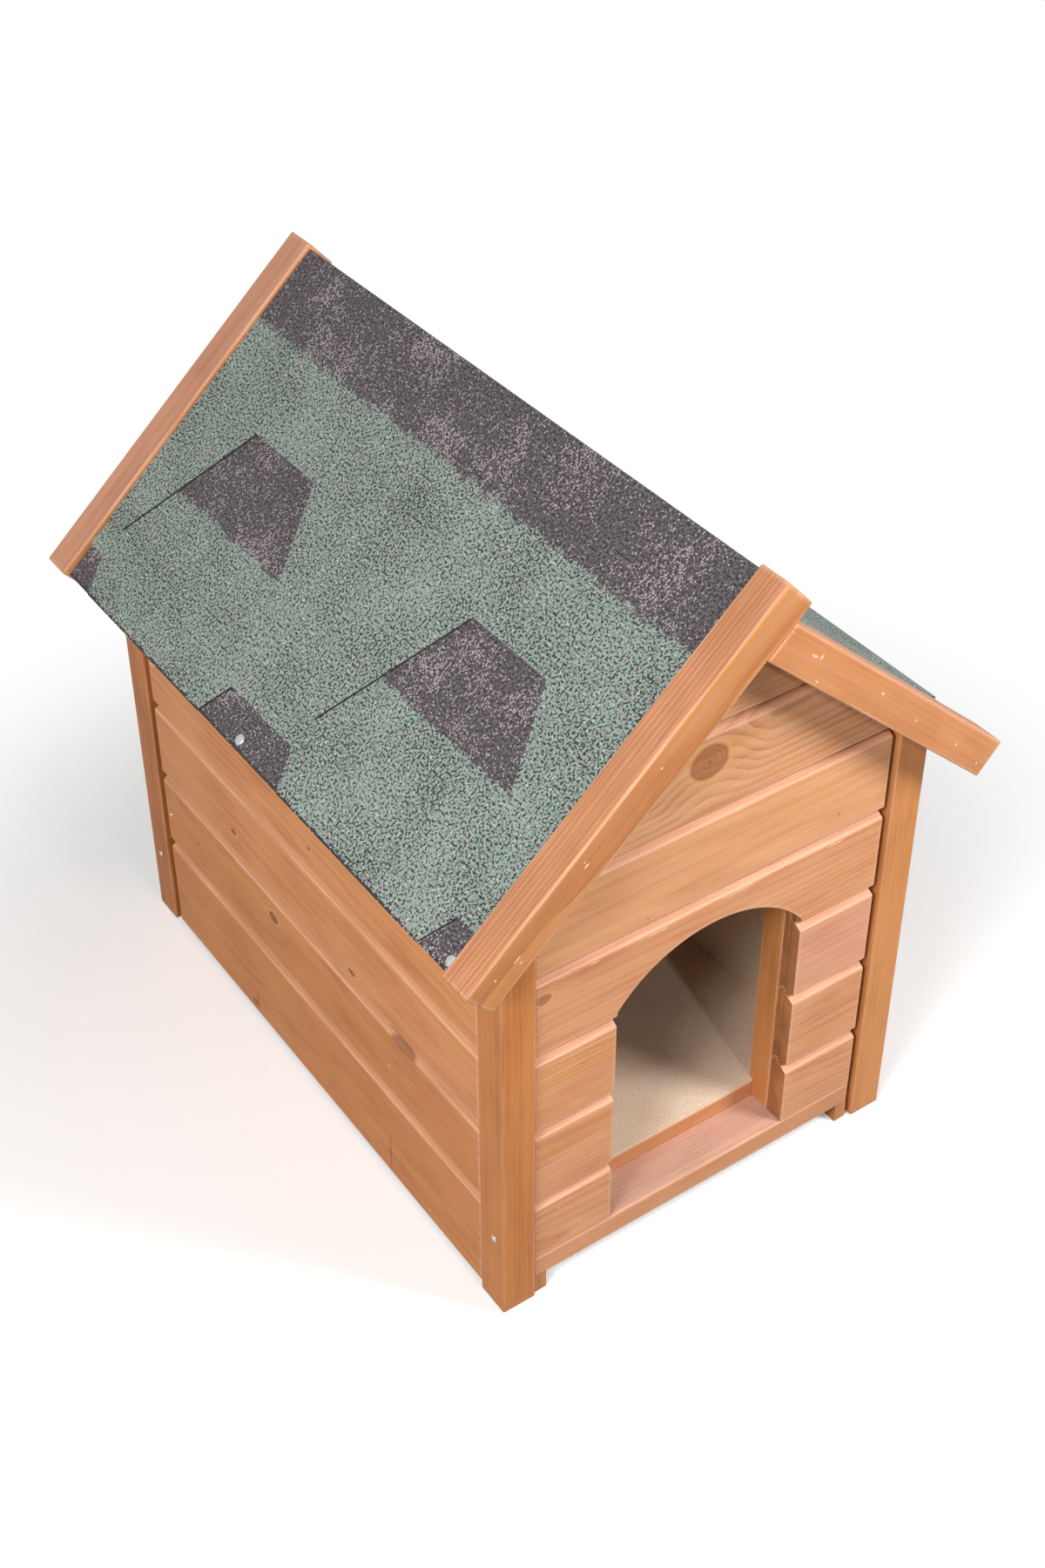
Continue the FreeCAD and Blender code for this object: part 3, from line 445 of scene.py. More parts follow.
    # dark pores, here and there
    pore = add("TexVoronoi", {"Vector": spread(17, 6.5), "Scale": 1.0}, "Distance")
    pore = add("ValToRGB", (pore,), stops=[(0.05, 0.65), (0.085, 0.0)])
    seldom = add("ValToRGB", (clouds(60, 40),), stops=[(0.48, 0.0), (0.62, 1.0)])
    coats.append((add("Math", (pore, seldom), operation="MULTIPLY"), "#6E3F1C"))
    if chips or dents:      # with edges broken by up to 1.2 mm
        broken = add("VectorMath", (clouds(1.6, 1.2, 3.0, out="Color"), (2.4, 0, 2.4), local),
                     operation="MULTIPLY_ADD")
        for marks, tint, strength in ((chips, "#EBC3A2", 0.95), (dents, "#6E3D20", 0.6)):
            if marks:
                far = nearest(add, broken, [(a + 1.2, h + 1.2, l, w) for a, h, l, w in marks])
                coats.append((add("ValToRGB", (far,), stops=[(0.7, strength), (1.0, 0.0)]), tint))
    # sawn ends drink more stain, and keep the saw's marks
    facing = add("Mapping", {0: point["Normal"], "Rotation": turn}, vector_type="TEXTURE")
    end = add("Math", (add("SeparateXYZ", (facing,)),), operation="ABSOLUTE")
    end = add("MapRange", (end, 0.75, 0.95, 0.0, 0.8))
    coats.append((end, add("ValToRGB", (blotch,), stops=[(0.35, "#784019"), (0.65, "#A0622F")])))

    for share, tint in coats:
        colour = add("Mix", {0: share, 6: colour, 7: tint}, **COLOURS)
    height = add("Math", (late, 0.2, streak), operation="MULTIPLY_ADD")
    height = add("Math", (pore, -0.8, height), operation="MULTIPLY_ADD")
    return surfaced(material, {
        "Base Color": colour, "Specular IOR Level": 0.2,
        "Roughness": add("Math", (streak, 0.30, 0.35), operation="MULTIPLY_ADD"),
        "Normal": add("Bump", {"Strength": 0.5, "Distance": 0.0003, "Height": height})})


def dress(piece, material, *nodes, slot):
    """Gives a new piece its material, and sets it on the frame in the place of these nodes."""
    piece.data.materials.append(material)
    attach(piece, "root")
    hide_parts(*nodes)


def stained(name, part, slot, *look, **more):
    """A timber in its own stain, in the place of the node of its name."""
    piece = joined(name + "_look", [part])
    dress(piece, stained_pine(name + "_stained_pine", *look, **more), name, slot=slot)


def coat(material, *nodes):
    """Gives nodes of the frame a material on their objects' slots."""
    for node in nodes:
        for material_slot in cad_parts[node].material_slots:
            material_slot.link = "OBJECT"
            material_slot.material = material


# ---------------- walls in their stain, with painted sheen, light and shade
KNOTS = {  # in world places: along the wall, height, length, width (mm)
    "front_gable_board_2": [(-19.0, 501.0, 17.0, 15.0)],
    "front_board_arch": [(-167.0, 340.8, 7.0, 5.0)],
    "left_board_2": [(58.0, 168.6, 7.5, 5.4), (205.0, 150.0, 2.4, 1.6)],
    "left_board_3": [(123.1, 223.5, 4.5, 2.8), (-81.1, 209.1, 5.6, 3.0)],
    "left_board_4": [(-20.0, 305.0, 2.8, 1.6)],
    "rear_board_3": [(60.0, 236.0, 11.0, 9.0)], "rear_board_5": [(-70.0, 395.0, 8.0, 7.0)],
    "right_board_2": [(-90.0, 150.0, 9.0, 7.0)], "right_board_4": [(150.0, 320.0, 10.0, 8.5)]}
CHIPS = {  # pale, where the stain came off
    "left_board_1": [(-194, 17, 1.6, 1.0), (-100, 14, 1.0, 1.0)], "left_board_2": [(-136, 145, 1.8, 0.9)],
    "left_board_4": [(260, 327, 3.0, 2.2)], "front_board_1_left": [(-150, 93, 1.2, 0.8), (-128, 60, 0.9, 0.9)],
    "front_gable_board_3": [(-118, 362, 7.0, 0.9), (-90, 363, 3.5, 0.8), (2, 360, 1.6, 0.9)],
    "front_board_arch": [(-120, 353.5, 6.0, 0.8), (-60, 353.0, 12.0, 0.7), (20, 353.5, 18.0, 0.7),
                         (120, 353.0, 10.0, 0.7)],
    "front_gable_board_2": [(-95, 441, 2.5, 0.9), (-12, 438.0, 16.0, 0.8)]}
DENTS = {  # dark, where the stain gathered
    "left_board_1": [(-131, 32, 1.3, 25.0), (108, 24, 1.5, 13.0), (79, 44, 1.6, 1.3), (112, 16, 8.0, 5.0)],
    "left_board_2": [(-160, 187, 22.0, 4.5), (128, 122, 1.4, 1.2)],
    "left_board_3": [(-160, 199, 22.0, 3.0)],
    "front_gable_board_3": [(5.7, 365, 2.0, 2.2), (120, 384, 1.3, 1.0), (-70, 372, 1.2, 1.0)],
    "front_board_2_right": [(152, 196, 7.0, 2.0)], "front_board_1_left": [(-150, 56, 1.0, 0.8)]}
TINTS = {  # stain, contrast of the rings, ring width, pith, amber
    "front_gable_board_1": ("gable", 0.20, 4.5, (50, 60), 0.4),
    # the second gable board takes the darker copy that paints shade
    "front_gable_board_2": ("gable low", 0.30, 6.5, (-34, 34), 0.25),
    "front_gable_board_3": ("gable", 0.08, 5.5, (-75, -25), 0.30),
    "front_board_arch": ("front", 0.16, 4.6, (60, 58), 0.20),
    "front_board_3_left": ("front", 0.30, 2.2, (60, 55), 0.6),
    "front_board_2_left": ("front", 0.14, 3.4, (-70, 30), 0.6),
    "front_board_1_left": ("front", 0.22, 2.6, (90, -20), 0.45),
    # this board takes the rosier copy, partly its own tone, partly a painted sheen
    "front_board_3_right": ("rosy", 0.16, 2.4, (80, 40), 0.05),
    "front_board_2_right": ("front", 0.18, 2.8, (60, -30), 0.15),
    "front_board_1_right": ("front", 0.20, 2.6, (-90, 20), 0.1),
    # the side wall's lowest boards take a darker copy that paints shade, its top board a lighter one that paints
    # light
    "left_board_1": ("side low", 0.12, 4.0, (60, -25), 0.25),
    "left_board_2": ("side low", 0.14, 3.6, (-55, 30), 0.2),
    "left_board_3": ("side", 0.10, 4.2, (80, 10), 0.2),
    "left_board_4": ("side", 0.20, 3.4, (-60, -30), 0.45),
    "left_board_5": ("side top", 0.16, 4.0, (70, 20), 0.5)}
rng = np.random.default_rng(7)


def draw(low, high):
    """The next random number. The seed is fixed, so every run gives the same house."""
    return float(rng.uniform(low, high))


for name, part, wall in wall_boards():
    middle = np.array(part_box(name)).sum(0) / 2 / MM
    axis = 0 if wall in ("front", "rear") else 1
    plain = ("side" if axis else "front", draw(0.08, 0.24), draw(2.6, 4.6),
             (draw(30, 90) * float(rng.choice([-1, 1])), draw(-40, 40)), draw(0.1, 0.4))
    stain, contrast, ring, pith, amber = TINTS.get(name, plain)
    knots, chips, dents = ([(along - middle[axis], height - middle[2], length, width)
                            for along, height, length, width in marks.get(name, ())]
                           for marks in (KNOTS, CHIPS, DENTS))
    # the colours given for faces that look up are a painted sheen
    stained(name, part, "boards", "xy"[axis], middle, stain, pith, ring, draw(-1.2, 1.2), contrast, knots, chips,
            dents, amber, draw(0, 40), upper="#D39B76" if axis else "#D59C7C", brushed=0.35 if axis else 0.5,
            heartwood="#5A2008" if wall == "left" else "#96582F")

# ---------------- posts
for end, y in (("front", -308.5), ("rear", 275.5)):
    for hand, side in (("left", -1), ("right", 1)):
        x = min(side * POST_INSIDE, side * POST_OUTSIDE)
        part = batten((x, y, 0), (x + POST_OUTSIDE - POST_INSIDE, y + POST_DEEP, 600), "z", radius=1.6,
                      cuts=ROOF_CUTS)
        stain = "rear post" if end == "rear" else "post" if hand == "left" else "light post"
        stained("post_%s_%s" % (end, hand), part, "posts", "z", (x + 16, y + 16, 200), stain,
                (-45.0, 50.0 * side), 4.5, contrast=0.10, amber=0.25, seed=draw(0, 40), rubbed=0.3, brushed=0.4)

# ---------------- barge boards
BARGE_CHIPS = {  # nail holes, chips and scrapes on the front faces: x, z, length, width (mm)
    "barge_front_left": [(-214.4, 436.3, 4.0, 1.0), (-211, 432.0, 2.0, 0.9), (-155.3, 494.1, 3.2, 1.2),
                         (-92.3, 552.3, 1.3, 1.3), (-157.0, 498.0, 1.3, 1.0), (-233, 426, 1.2, 1.2)],
    "barge_front_right": [(204.6, 438.1, 1.4, 1.4), (231.6, 407.2, 1.3, 1.3), (42.7, 592.0, 4.5, 0.9),
                          (50.0, 588.0, 1.2, 3.0), (47.1, 567.1, 1.6, 1.2), (116.0, 527.0, 3.0, 0.8),
                          (156.0, 484.0, 1.5, 0.9)]}
BARGE_LOOKS = {  # the front left board was sawn across its rings, which show as lines
    True: dict(stain="lined barge", pith=(120.0, 10.0), ring=4.3, contrast=0.36, tilt=0.5, amber=0.45,
               brushed=0.6),
    False: dict(stain="barge", pith=(-30.0, 90.0), ring=5.0, contrast=0.10, tilt=0.3, amber=0.2, brushed=0.3)}
for end, y in (("front", -339.5), ("rear", 308.5)):
    for hand, side, foot, top in (("left", -1, 89.46, BARGE_TOP), ("right", 1, 86.76, 482.54)):
        name = "barge_%s_%s" % (end, hand)
        uphill, square_up = np.array([-side * COS, 0, SIN]), np.array([side * SIN, 0, COS])
        # the left board passes the ridge, and the right one butts under it
        head = (uphill, 455.18) if side < 0 else ((-SIN, 0, COS), BARGE_TOP - BARGE_THICK - GAP)
        under, back = top - BARGE_THICK, y + BARGE_WIDE
        part = timber([(y, under), (back, under), (back, top), (y, top)], (0, 0, 0), uphill, (0, 1, 0),
                      square_up, [(-uphill, -foot), head], radius=1.6)
        middle = uphill * 270 + square_up * (top - BARGE_THICK / 2) + np.array([0, y + BARGE_WIDE / 2, 0])
        # the local frame's first axis runs up the left slope and down the right one
        first = uphill * -side
        chips = [((x - middle[0]) * first[0] + (z - middle[2]) * first[2],
                  (x - middle[0]) * square_up[0] + (z - middle[2]) * square_up[2], length, width)
                 for x, z, length, width in BARGE_CHIPS.get(name, ())]
        # its colour for faces that look up is a painted sheen
        stained(name, part, "barge_boards", hand + " slope", middle, chips=chips, seed=draw(0, 40),
                upper="#BE8463" if end == "front" else "#CA957F", rubbed=0.6,
                **BARGE_LOOKS[name == "barge_front_left"])

# ---------------- rails, jambs, threshold, feet
# name, grain, stain, rubbing, and the colour of the painted sheen on faces that look up
for name, along, stain, rubbed, upper in (("front_rail", "x", "rail", 0.6, "#D2A898"),
                                          ("rear_rail", "x", "rail", 0.6, "#DCA888"),
                                          ("threshold", "x", "front", 0.9, "#DCA888"),
                                          ("jamb_batten_left", "z", "light post", 0.6, "#DCA888"),
                                          ("jamb_batten_right", "z", "light post", 0.6, "#DCA888")):
    low, high = np.array(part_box(name)) / MM
    stained(name, batten(low, high, along, 1.0), "rails", along, (low + high) / 2, stain, (-45.0, 30.0), 4.0,
            contrast=0.08, seed=draw(0, 40), upper=upper, rubbed=rubbed, brushed=0.3)

for axis, nodes in (("x", ("gable_rafters", "floor_bearer_rear")),
                    ("y", ("side_bottom_rail_left", "side_bottom_rail_right", "side_top_plate_left",
                           "side_top_plate_right")),
                    ("z", ("foot_blocks", "corner_battens", "side_wall_studs"))):
    coat(stained_pine("framing_pine_" + axis, axis, (0, 0, 200), "inner", (30.0, 15.0), 3.6, contrast=0.35,
                      seed=3.0), *nodes)


# ================ sheets
def hardboard(name, face, speck, grit):
    """Thin fibreboard: pale flat fibre with fine darker specks and soft stains."""
    material, add = new_nodes(bpy.data.materials.new(name))
    point = add("TexCoord", out="Object")
    flock = add("TexNoise", {"Vector": point, "Scale": 1 / (grit * MM), "Detail": 4.0, "Roughness": 0.7}, "Fac")
    stain = add("TexNoise", {"Vector": point, "Scale": 1 / (90 * MM), "Detail": 3.0}, "Fac")
    stain = add("ValToRGB", (stain,), stops=[(0.35, 0.55), (0.65, 0.0)])
    fine = add("ValToRGB", (flock,), stops=[(0.30, speck), (0.48, face), (0.75, face)])
    return surfaced(material, {
        "Base Color": add("Mix", {0: stain, 6: fine, 7: speck}, **COLOURS), "Roughness": 0.7,
        "Normal": add("Bump", {"Strength": 0.3, "Distance": 0.0002, "Height": flock})})


coat(hardboard("floor_hardboard", "#F4DAC0", "#D0AC8E", 1.6), "floor_sheet")
coat(hardboard("lining_hardboard", "#E4D0B6", "#CDB498", 2.5), "lining_right")
coat(hardboard("raw_hardboard", "#D2AE82", "#B08A5C", 2.5), "lining_left", "lining_rear")
coat(hardboard("roof_deck_ply", "#B4845A", "#8E6038", 5.0), "roof_deck_left", "roof_deck_right")


# ================ bitumen shingles
def slope_point(side, y, run, level):
    """Points of a roof slope from their distance along the ridge, run and level."""
    return np.stack(np.broadcast_arrays(side * (level * SIN - run * COS), y, level * COS + run * SIN), -1)


def strip(name, side, path_run, path_level, notch_top=0.0, notches=()):
    """A shingle strip. Its grid is rows along a path of (run, level) by columns along the ridge.
    Below the notch top, at share q = (top - run) / depth, the columns at a notch's sides move out by
    q times its spread and the cells inside it are left out. Below the outside surface a second one
    lies a felt's thickness in, along the path's normal, and the rim between them closes the felt."""
    breaks, widening, holes = [-ROOF_HALF_LENGTH], [0.0], []
    for centre in notches:
        for edge, way in ((centre - NOTCH_HALF, -1.0), (centre + NOTCH_HALF, 1.0)):
            if abs(edge) < ROOF_HALF_LENGTH:
                breaks.append(edge)
                widening.append(way)
                holes.append(way > 0)
    breaks.append(ROOF_HALF_LENGTH)
    widening.append(0.0)
    holes.append(max(notches, default=0.0) + NOTCH_HALF > ROOF_HALF_LENGTH)
    q = np.maximum(notch_top - path_run, 0) / NOTCH_DEEP
    edges = np.array(breaks)[None] + np.array(widening)[None] * NOTCH_SPREAD * q[:, None]
    edges = np.clip(edges, -ROOF_HALF_LENGTH, ROOF_HALF_LENGTH)
    counts = [max(2, int(width / 8)) for width in np.diff(breaks)]          # columns 8 mm or more apart
    cells = [(edges[:, k, None], edges[:, k + 1, None], np.arange(n) / n) for k, n in enumerate(counts)]
    y = np.concatenate([a * (1 - t) + b * t for a, b, t in cells] + [edges[:, -1:]], 1)
    rows, cols = y.shape
    size = rows * cols
    tangent = np.stack([np.gradient(path_run), np.gradient(path_level)], 1)
    tangent /= np.hypot(*tangent.T)[:, None]
    travel = np.concatenate([[0], np.cumsum(np.hypot(np.diff(path_run), np.diff(path_level)))]) + path_run[0]
    points = np.concatenate([slope_point(side, y, (path_run + tangent[:, 1] * deep)[:, None],
                                         (path_level - tangent[:, 0] * deep)[:, None]).reshape(-1, 3)
                             for deep in (0.0, FELT)])
    uv = np.stack(np.broadcast_arrays(y, travel[:, None]), -1).reshape(-1, 2)
    solid = ~(np.repeat(holes, counts)[None] & (path_run[1:, None] <= notch_top + 0.01))
    a = (np.arange(rows - 1)[:, None] * cols + np.arange(cols - 1))[solid]
    top = np.stack([a, a + 1, a + cols + 1, a + cols], -1)
    bottom = top[:, ::-1] + size
    sides = np.concatenate([top[:, [k, (k + 1) % 4]] for k in range(4)])
    # a side that no other cell has the other way round is on the rim
    rim = sides[~np.isin(sides[:, 0] * size + sides[:, 1], sides[:, 1] * size + sides[:, 0])]
    walls = np.stack([rim[:, 1], rim[:, 0], rim[:, 0] + size, rim[:, 1] + size], -1)
    faces = np.concatenate([top, bottom, walls])
    if side > 0:
        faces = faces[:, ::-1]
    used, again = np.unique(faces, return_inverse=True)
    piece = new_mesh_object(name, points[used], again.reshape(faces.shape), smooth=False,
                            uv=np.concatenate([uv, uv])[used])
    piece.data.polygons.foreach_set("material_index", (np.arange(len(faces)) >= len(top)).astype(int))
    return piece


def mineral_felt(name, edge, raggedness):
    """Mineral-faced bitumen felt: crushed slate about 1 mm across pressed into black bitumen, mostly
    green over black gaps with some grey-rose grains, and plain charcoal strewn with pale chips where
    the next course is meant to lie. The border between the two is ragged, about the run of its edge."""
    material, add = new_nodes(bpy.data.materials.new(name))
    mm = add("VectorMath", (add("UVMap", uv_map="slope"), (1000, 1000, 1000)), operation="MULTIPLY")

    def grains(size, detail, rough, shift=0.0):
        """Flat noise in grains of about this size, moved by a shift so that no two are alike."""
        moved = add("VectorMath", (mm, (shift, shift * 0.7, 0)))
        return add("TexNoise", {"Vector": moved, "Scale": 1 / size, "Detail": detail, "Roughness": rough}, "Fac",
                   noise_dimensions="2D")

    grit, rose, patchy = grains(2.2, 2.0, 0.75), grains(4.0, 2.0, 0.6, 300.0), grains(60.0, 3.0, 0.6, 90.0)
    chips = add("TexVoronoi", {"Vector": mm, "Scale": 1 / 1.8}, None, voronoi_dimensions="2D")
    chance = add("SeparateColor", (chips["Color"],), None)
    # green: grey-rose drifts and a few pale grains, over black gaps that are more in some places
    rosy = add("ValToRGB", (rose,), stops=[(0.47, 0.0), (0.58, 0.9)])
    seldom = add("ValToRGB", (chance[0],), stops=[(0.0, 0.7), (0.06, 0.0)], interpolation="CONSTANT")
    gap = add("Math", (patchy, 0.14, add("Math", (grit, 0.07), operation="SUBTRACT")), operation="MULTIPLY_ADD")
    gap = add("ValToRGB", (gap,), stops=[(0.455, 0.0), (0.485, 1.0)])
    green = add("Mix", {0: rosy, 6: "#8EA598", 7: "#9F9895"}, **COLOURS)
    green = add("Mix", {0: seldom, 6: green, 7: "#C5C2BA"}, **COLOURS)
    green = add("Mix", {0: gap, 6: "#2A2D2C", 7: green}, **COLOURS)
    # charcoal: dark grains, pale chips in drifts
    drift = add("ValToRGB", (patchy,), stops=[(0.36, 0.04), (0.52, 0.15), (0.66, 0.50)])
    pale = add("ValToRGB", (chips["Distance"],), stops=[(0.25, 1.0), (0.5, 0.0)])
    pale = add("Math", (add("Math", (chance[1], drift), operation="LESS_THAN"), pale), operation="MULTIPLY")
    charcoal = add("ValToRGB", (grit,), stops=[(0.36, "#262325"), (0.50, "#4E484B"), (0.64, "#746C6F")])
    strewn = add("Math", (pale, 0.85), operation="MULTIPLY")
    charcoal = add("Mix", {0: strewn, 6: charcoal, 7: "#C4B9BB"}, **COLOURS)
    run = add("SeparateXYZ", (mm,), 1)
    place = add("Math", (grains(14.0, 6.0, 0.85, 40.0), raggedness * 2, run), operation="MULTIPLY_ADD")
    dark = add("Math", (place, edge + raggedness), operation="GREATER_THAN")
    # the cut eave edge has shed its grit, about 2 mm wide
    shed = add("Math", (grains(5.0, 2.0, 0.6, 70.0), 4.0, run), operation="MULTIPLY_ADD")
    shed = add("Math", (shed, EAVE_RUN + 4.2), operation="LESS_THAN")
    bald = add("Mix", {0: pale, 6: "#332E30", 7: "#B8B0AE"}, **COLOURS)
    colour = add("Mix", {0: dark, 6: green, 7: charcoal}, **COLOURS)
    return surfaced(material, {
        "Base Color": add("Mix", {0: shed, 6: colour, 7: bald}, **COLOURS), "Roughness": 0.8,
        "Specular IOR Level": 0.35, "Normal": add("Bump", {"Strength": 0.7, "Distance": 0.0005, "Height": grit})})


def cut_bitumen():
    """The felt's cut rim and underside: black bitumen with a few pale threads of its glass mat."""
    material, add = new_nodes(bpy.data.materials.new("cut_bitumen"))
    point = add("TexCoord", out="Object")
    noise = add("TexNoise", {"Vector": point, "Scale": 1 / (1.5 * MM), "Detail": 3.0}, "Fac")
    black = add("ValToRGB", (noise,), stops=[(0.3, "#1E1C1D"), (0.6, "#393536"), (0.72, "#8C8584")])
    return surfaced(material, {"Base Color": black, "Roughness": 0.7})


rim_material = cut_bitumen()
# the border's run and raggedness on each felt
felts = {name: mineral_felt("mineral_felt_" + name, edge, raggedness) for name, edge, raggedness in (
    ("top", 376.0, 22.0), ("right", 520.0, 10.0), ("lower", 215.0, 10.0), ("starter", 60.0, 4.0))}
tabs = np.linspace(TAB_FOOT, TAB_TOP, 19)
tab_notches, lower_notches = (-166.65, 166.65), (-333.3, 0.0, 333.3)
left_run = np.concatenate([tabs, np.linspace(300, 451.78, 16)])
# over the ridge the right strip follows the curve (1-t)^3 A + 3t(1-t)^2 B + 3t^2(1-t) C + t^3 D
t = np.linspace(0, 1, 14)[1:, None]
drape = ((1 - t) ** 3 * (350, FELT_2) + 3 * t * (1 - t) ** 2 * (378, FELT_2)
         + 3 * t ** 2 * (1 - t) * (402, 497.6) + t ** 3 * (428.77, 498.63))
right_run = np.concatenate([tabs, np.linspace(302, 350, 6), drape[:, 0]])
right_level = np.concatenate([np.full(25, FELT_2), drape[:, 1]])
# the lower strip drops from the starter strip's back on to the deck
lower_run = np.concatenate([np.linspace(EAVE_RUN, LOWER_NOTCH_TOP, 6),
                            [130, 134, 137.37, 151.4, 200, 300, 400, 426]])
lower_level = np.interp(lower_run, [137.37, 151.4], [FELT_2, FELT_1])
starter_run = np.linspace(EAVE_RUN, 136.97, 8)
for hand, side, run, level, felt in (("left", -1, left_run, np.full(len(left_run), FELT_2), "top"),
                                     ("right", 1, right_run, right_level, "right")):
    for name, node, felt, path in (
            ("shingle_top_%s_look", "shingle_top_" + hand, felt, (run, level, TAB_TOP, tab_notches)),
            ("shingle_lower_%s_look", "shingle_lower_" + hand, "lower",
             (lower_run, lower_level, LOWER_NOTCH_TOP, lower_notches)),
            ("starter_%s_look", "starter_strips", "starter", (starter_run, np.full(8, FELT_1)))):
        piece = strip(name % hand, side, *path)
        dress(piece, felts[felt], node, slot="bitumen_shingle")
        piece.data.materials.append(rim_material)


# ================ fasteners
def steel(name, colour, roughness):
    """Zinc on steel: grey metal with a faintly mottled sheen."""
    material, add = new_nodes(bpy.data.materials.new(name))
    point = add("TexCoord", out="Object")
    spangle = add("TexNoise", {"Vector": point, "Scale": 1 / (0.8 * MM), "Detail": 2.0}, "Fac")
    return surfaced(material, {
        "Base Color": add("Mix", {0: spangle, 6: colour, 7: "#8F9294"}, **COLOURS), "Metallic": 1.0,
        "Roughness": add("Math", (spangle, 0.25, roughness - 0.12), operation="MULTIPLY_ADD")})


def fastener_head(centre, facing, radius, height, cross=False):
    """A fastener's head: a dome of height h (1 - (r/R)^2)^0.5 over its seat, and in a screw's a cross
    that sinks where one of the two sizes is under 0.20 R and the other under 0.66 R."""
    facing = np.asarray(facing, float)
    side = np.cross(facing, (0, 1, 0) if abs(facing[1]) < 0.9 else (1, 0, 0))
    side /= np.linalg.norm(side)
    up = np.cross(facing, side)
    rings, spokes = 14, 48
    share = np.concatenate([[0.04], np.linspace(0.1, 0.96, rings - 2), [1.0]])
    angle = np.arange(spokes) * 2 * math.pi / spokes
    x, y = radius * share[:, None] * np.cos(angle), radius * share[:, None] * np.sin(angle)
    rise = height * np.sqrt(np.maximum(1 - share ** 2, 0))[:, None] + 0 * x
    rise[-1] = -0.2                            # the rim is let into the wood
    if cross:
        least, most = np.minimum(abs(x), abs(y)), np.maximum(abs(x), abs(y))
        sunk = np.clip((0.20 * radius - least) / (0.08 * radius), 0, 1)
        sunk = sunk * np.clip((0.66 * radius - most) / (0.1 * radius), 0, 1)
        rise = rise - sunk * 0.75 * height
    points = centre + x[..., None] * side + y[..., None] * up + rise[..., None] * facing
    # the rings run outwards, so their cells are turned over
    quads = np.roll(ring_quads(rings, spokes)[:, ::-1], 1, 1)
    return points.reshape(-1, 3), list(quads) + [np.arange(spokes)], np.zeros(rings * spokes)


zinc, galvanised = steel("zinc_plate", "#D5D8DA", 0.30), steel("galvanised_steel", "#D8D6D2", 0.50)
for name, metal, parts in (
        ("post_screws", zinc, [fastener_head((side * POST_OUTSIDE, y, z), (side, 0, 0), 3.1, 1.1, cross=True)
                               for side in (-1, 1) for y, z in ((-294.9, 83.3), (293.2, 74.4))]),
        ("board_nails", zinc, [fastener_head((side * SIDE_FACE, 259.8, 147.6), (side, 0, 0), 1.9, 0.7)
                               for side in (-1, 1)]),
        ("clout_nails", galvanised, [fastener_head(slope_point(side, y, 100.2, FELT_1), (side * SIN, 0, COS),
                                                   4.8, 0.8) for side in (-1, 1) for y in (-302.5, 5.8)])):
    piece = joined(name, parts)
    piece.data.materials.append(metal)
    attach(piece, "root")

# ================ stage, light and camera
floor_mesh = bpy.data.meshes.new("studio_floor")
floor_mesh.from_pydata([(-30, -30, 0), (30, -30, 0), (30, 30, 0), (-30, 30, 0)], [], [(0, 1, 2, 3)])
floor = bpy.data.objects.new("studio_floor", floor_mesh)
bpy.context.scene.collection.objects.link(floor)
# white paper that holds a soft shadow near the house and runs out to blank white 0.8 m from its middle;
# the light that it throws back on the house is a grey paper's
paper, add = new_nodes(bpy.data.materials.new("studio_paper"))
WHITE = (1, 1, 1, 1)
near = add("AddShader", (add("BsdfDiffuse", {"Color": "#F6F6F6"}),
                         add("Emission", {"Color": WHITE, "Strength": 0.12})))
far = add("VectorMath", (add("TexCoord", out="Object"),), "Value", operation="LENGTH")
far = add("MapRange", {0: far, 1: 0.40, 2: 0.80}, interpolation_type="SMOOTHSTEP")
sheet = add("MixShader", (far, near, add("Emission", {"Color": WHITE, "Strength": 1.0})))
path = add("LightPath", out=None)
seen = add("Math", (path["Is Camera Ray"], path["Is Glossy Ray"]), operation="MAXIMUM")
sheet = add("MixShader", (seen, add("BsdfDiffuse", {"Color": "#767676"}), sheet))
add("OutputMaterial", {"Surface": sheet}, None)
floor_mesh.materials.append(paper)

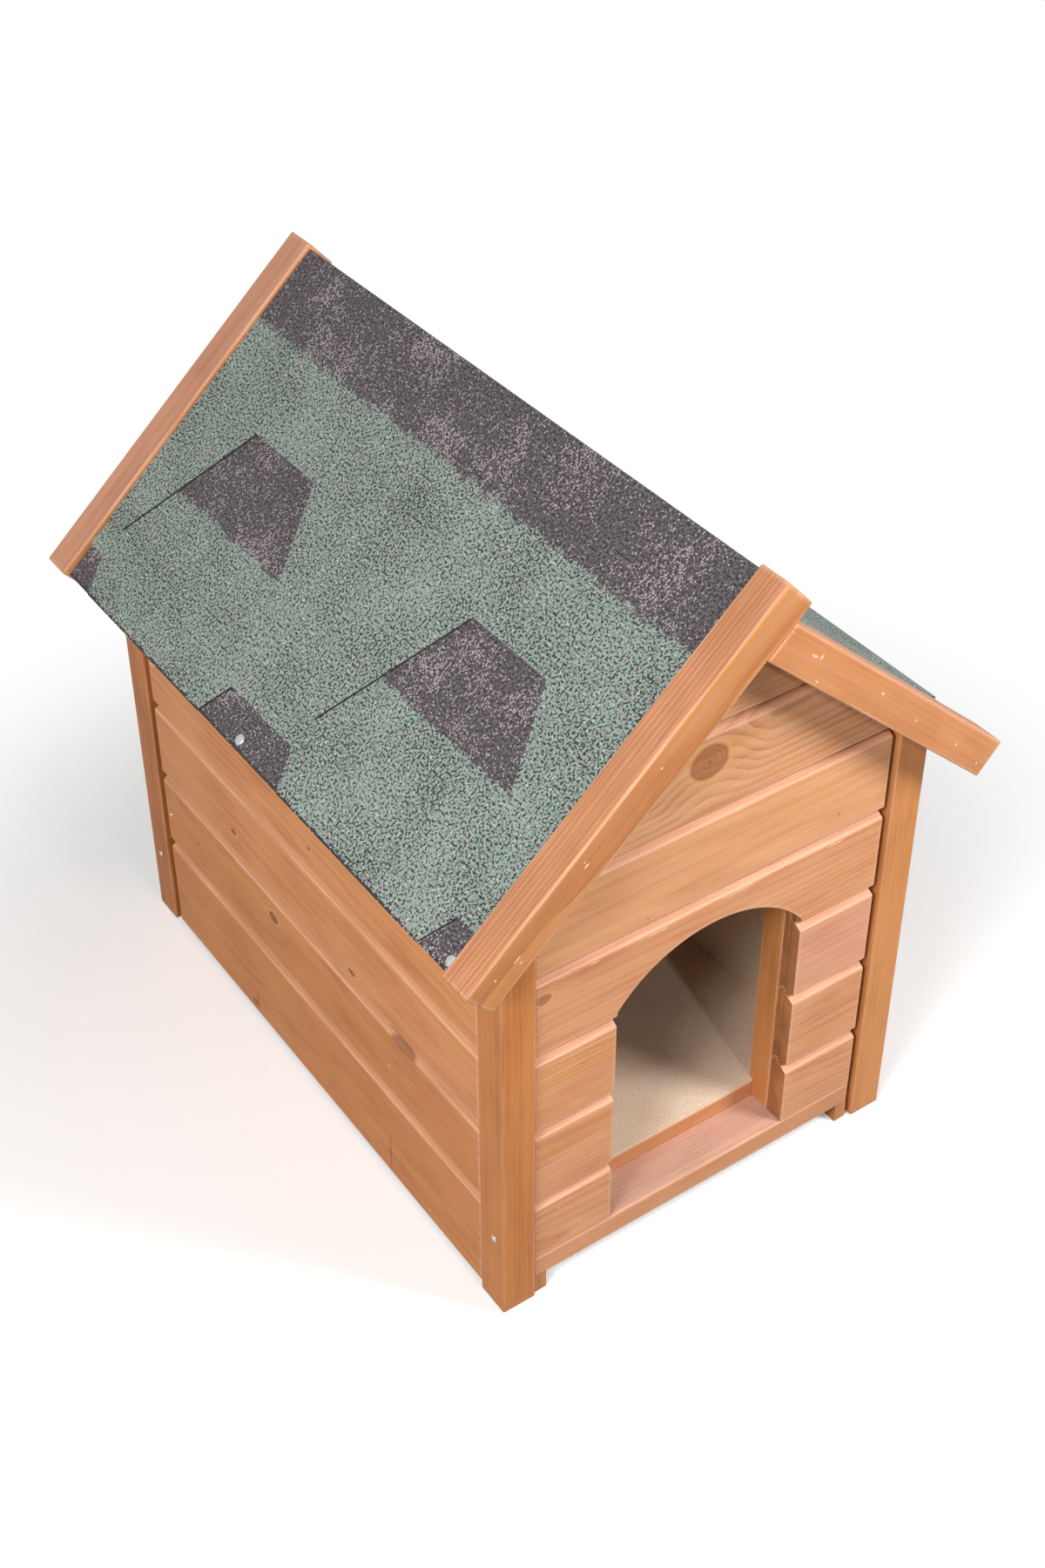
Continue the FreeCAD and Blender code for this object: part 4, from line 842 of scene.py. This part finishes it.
# a dim room, white where the camera, a sheen or a clear thing looks straight at it
world, add = new_nodes(bpy.data.worlds.new("studio"))
bpy.context.scene.world = world
path = add("LightPath", out=None)
direct = add("Math", (path["Is Camera Ray"], path["Is Glossy Ray"]), operation="MAXIMUM")
direct = add("Math", (direct, path["Is Transmission Ray"]), operation="MAXIMUM")
dim, bright = (add("Background", {"Color": WHITE, "Strength": strength}) for strength in (0.14, 1.0))
add("OutputWorld", {"Surface": add("MixShader", (direct, dim, bright))}, None)


def softbox(name, travel, strength, size, distance=2.0):
    """A round area lamp of a size in metres. Its light travels along the vector and gives the
    strength, in W/m2, at the distance, before the middle of the house."""
    travel = Vector(travel).normalized()
    light = bpy.data.lights.new(name, "AREA")
    light.shape = "DISK"
    light.size = size
    light.energy = strength * math.pi * distance ** 2
    holder = bpy.data.objects.new(name, light)
    bpy.context.scene.collection.objects.link(holder)
    holder.location = Vector((0, -0.2, 0.35)) - travel * distance
    holder.rotation_euler = travel.to_track_quat("-Z", "Y").to_euler()


# travel, strength (W/m2), size and distance (m)
softbox("left_softbox", (0.77, 0.24, -0.59), 2.2, 1.1, 2.8)
softbox("left_front_softbox", (0.66, 0.42, -0.62), 0.9, 0.5, 2.4)
softbox("right_softbox", (-0.493, 0.640, -0.589), 2.9, 0.6, 1.8)
softbox("front_light", (0.12, 0.87, -0.48), 0.4, 0.10)

# focal length and middle in pixels of the frame; they, the place and the turns make the house's own
# right angles stand as in the picture
FRAME_WIDE, FRAME_HIGH, FOCAL, MIDDLE = 1200, 1800, 2490.09, (561.16, 808.77)
camera_data = bpy.data.cameras.new("photo_camera")
camera = bpy.data.objects.new("photo_camera", camera_data)
bpy.context.scene.collection.objects.link(camera)
camera_data.lens = FOCAL * 36 / FRAME_HIGH
camera_data.shift_x = (FRAME_WIDE / 2 - MIDDLE[0]) / FRAME_HIGH
camera_data.shift_y = (MIDDLE[1] - FRAME_HIGH / 2) / FRAME_HIGH
camera_data.clip_start, camera_data.clip_end = 0.05, 100
pose = Matrix.Translation((-0.83807, -1.24166, 1.50021))
for degrees, axis in ((-33.728, "Z"), (90 - 37.409, "X"), (-0.709, "Z")):
    pose = pose @ Matrix.Rotation(math.radians(degrees), 4, axis)
camera.matrix_world = pose
bpy.context.scene.camera = camera
bpy.context.scene.view_settings.view_transform = "Standard"
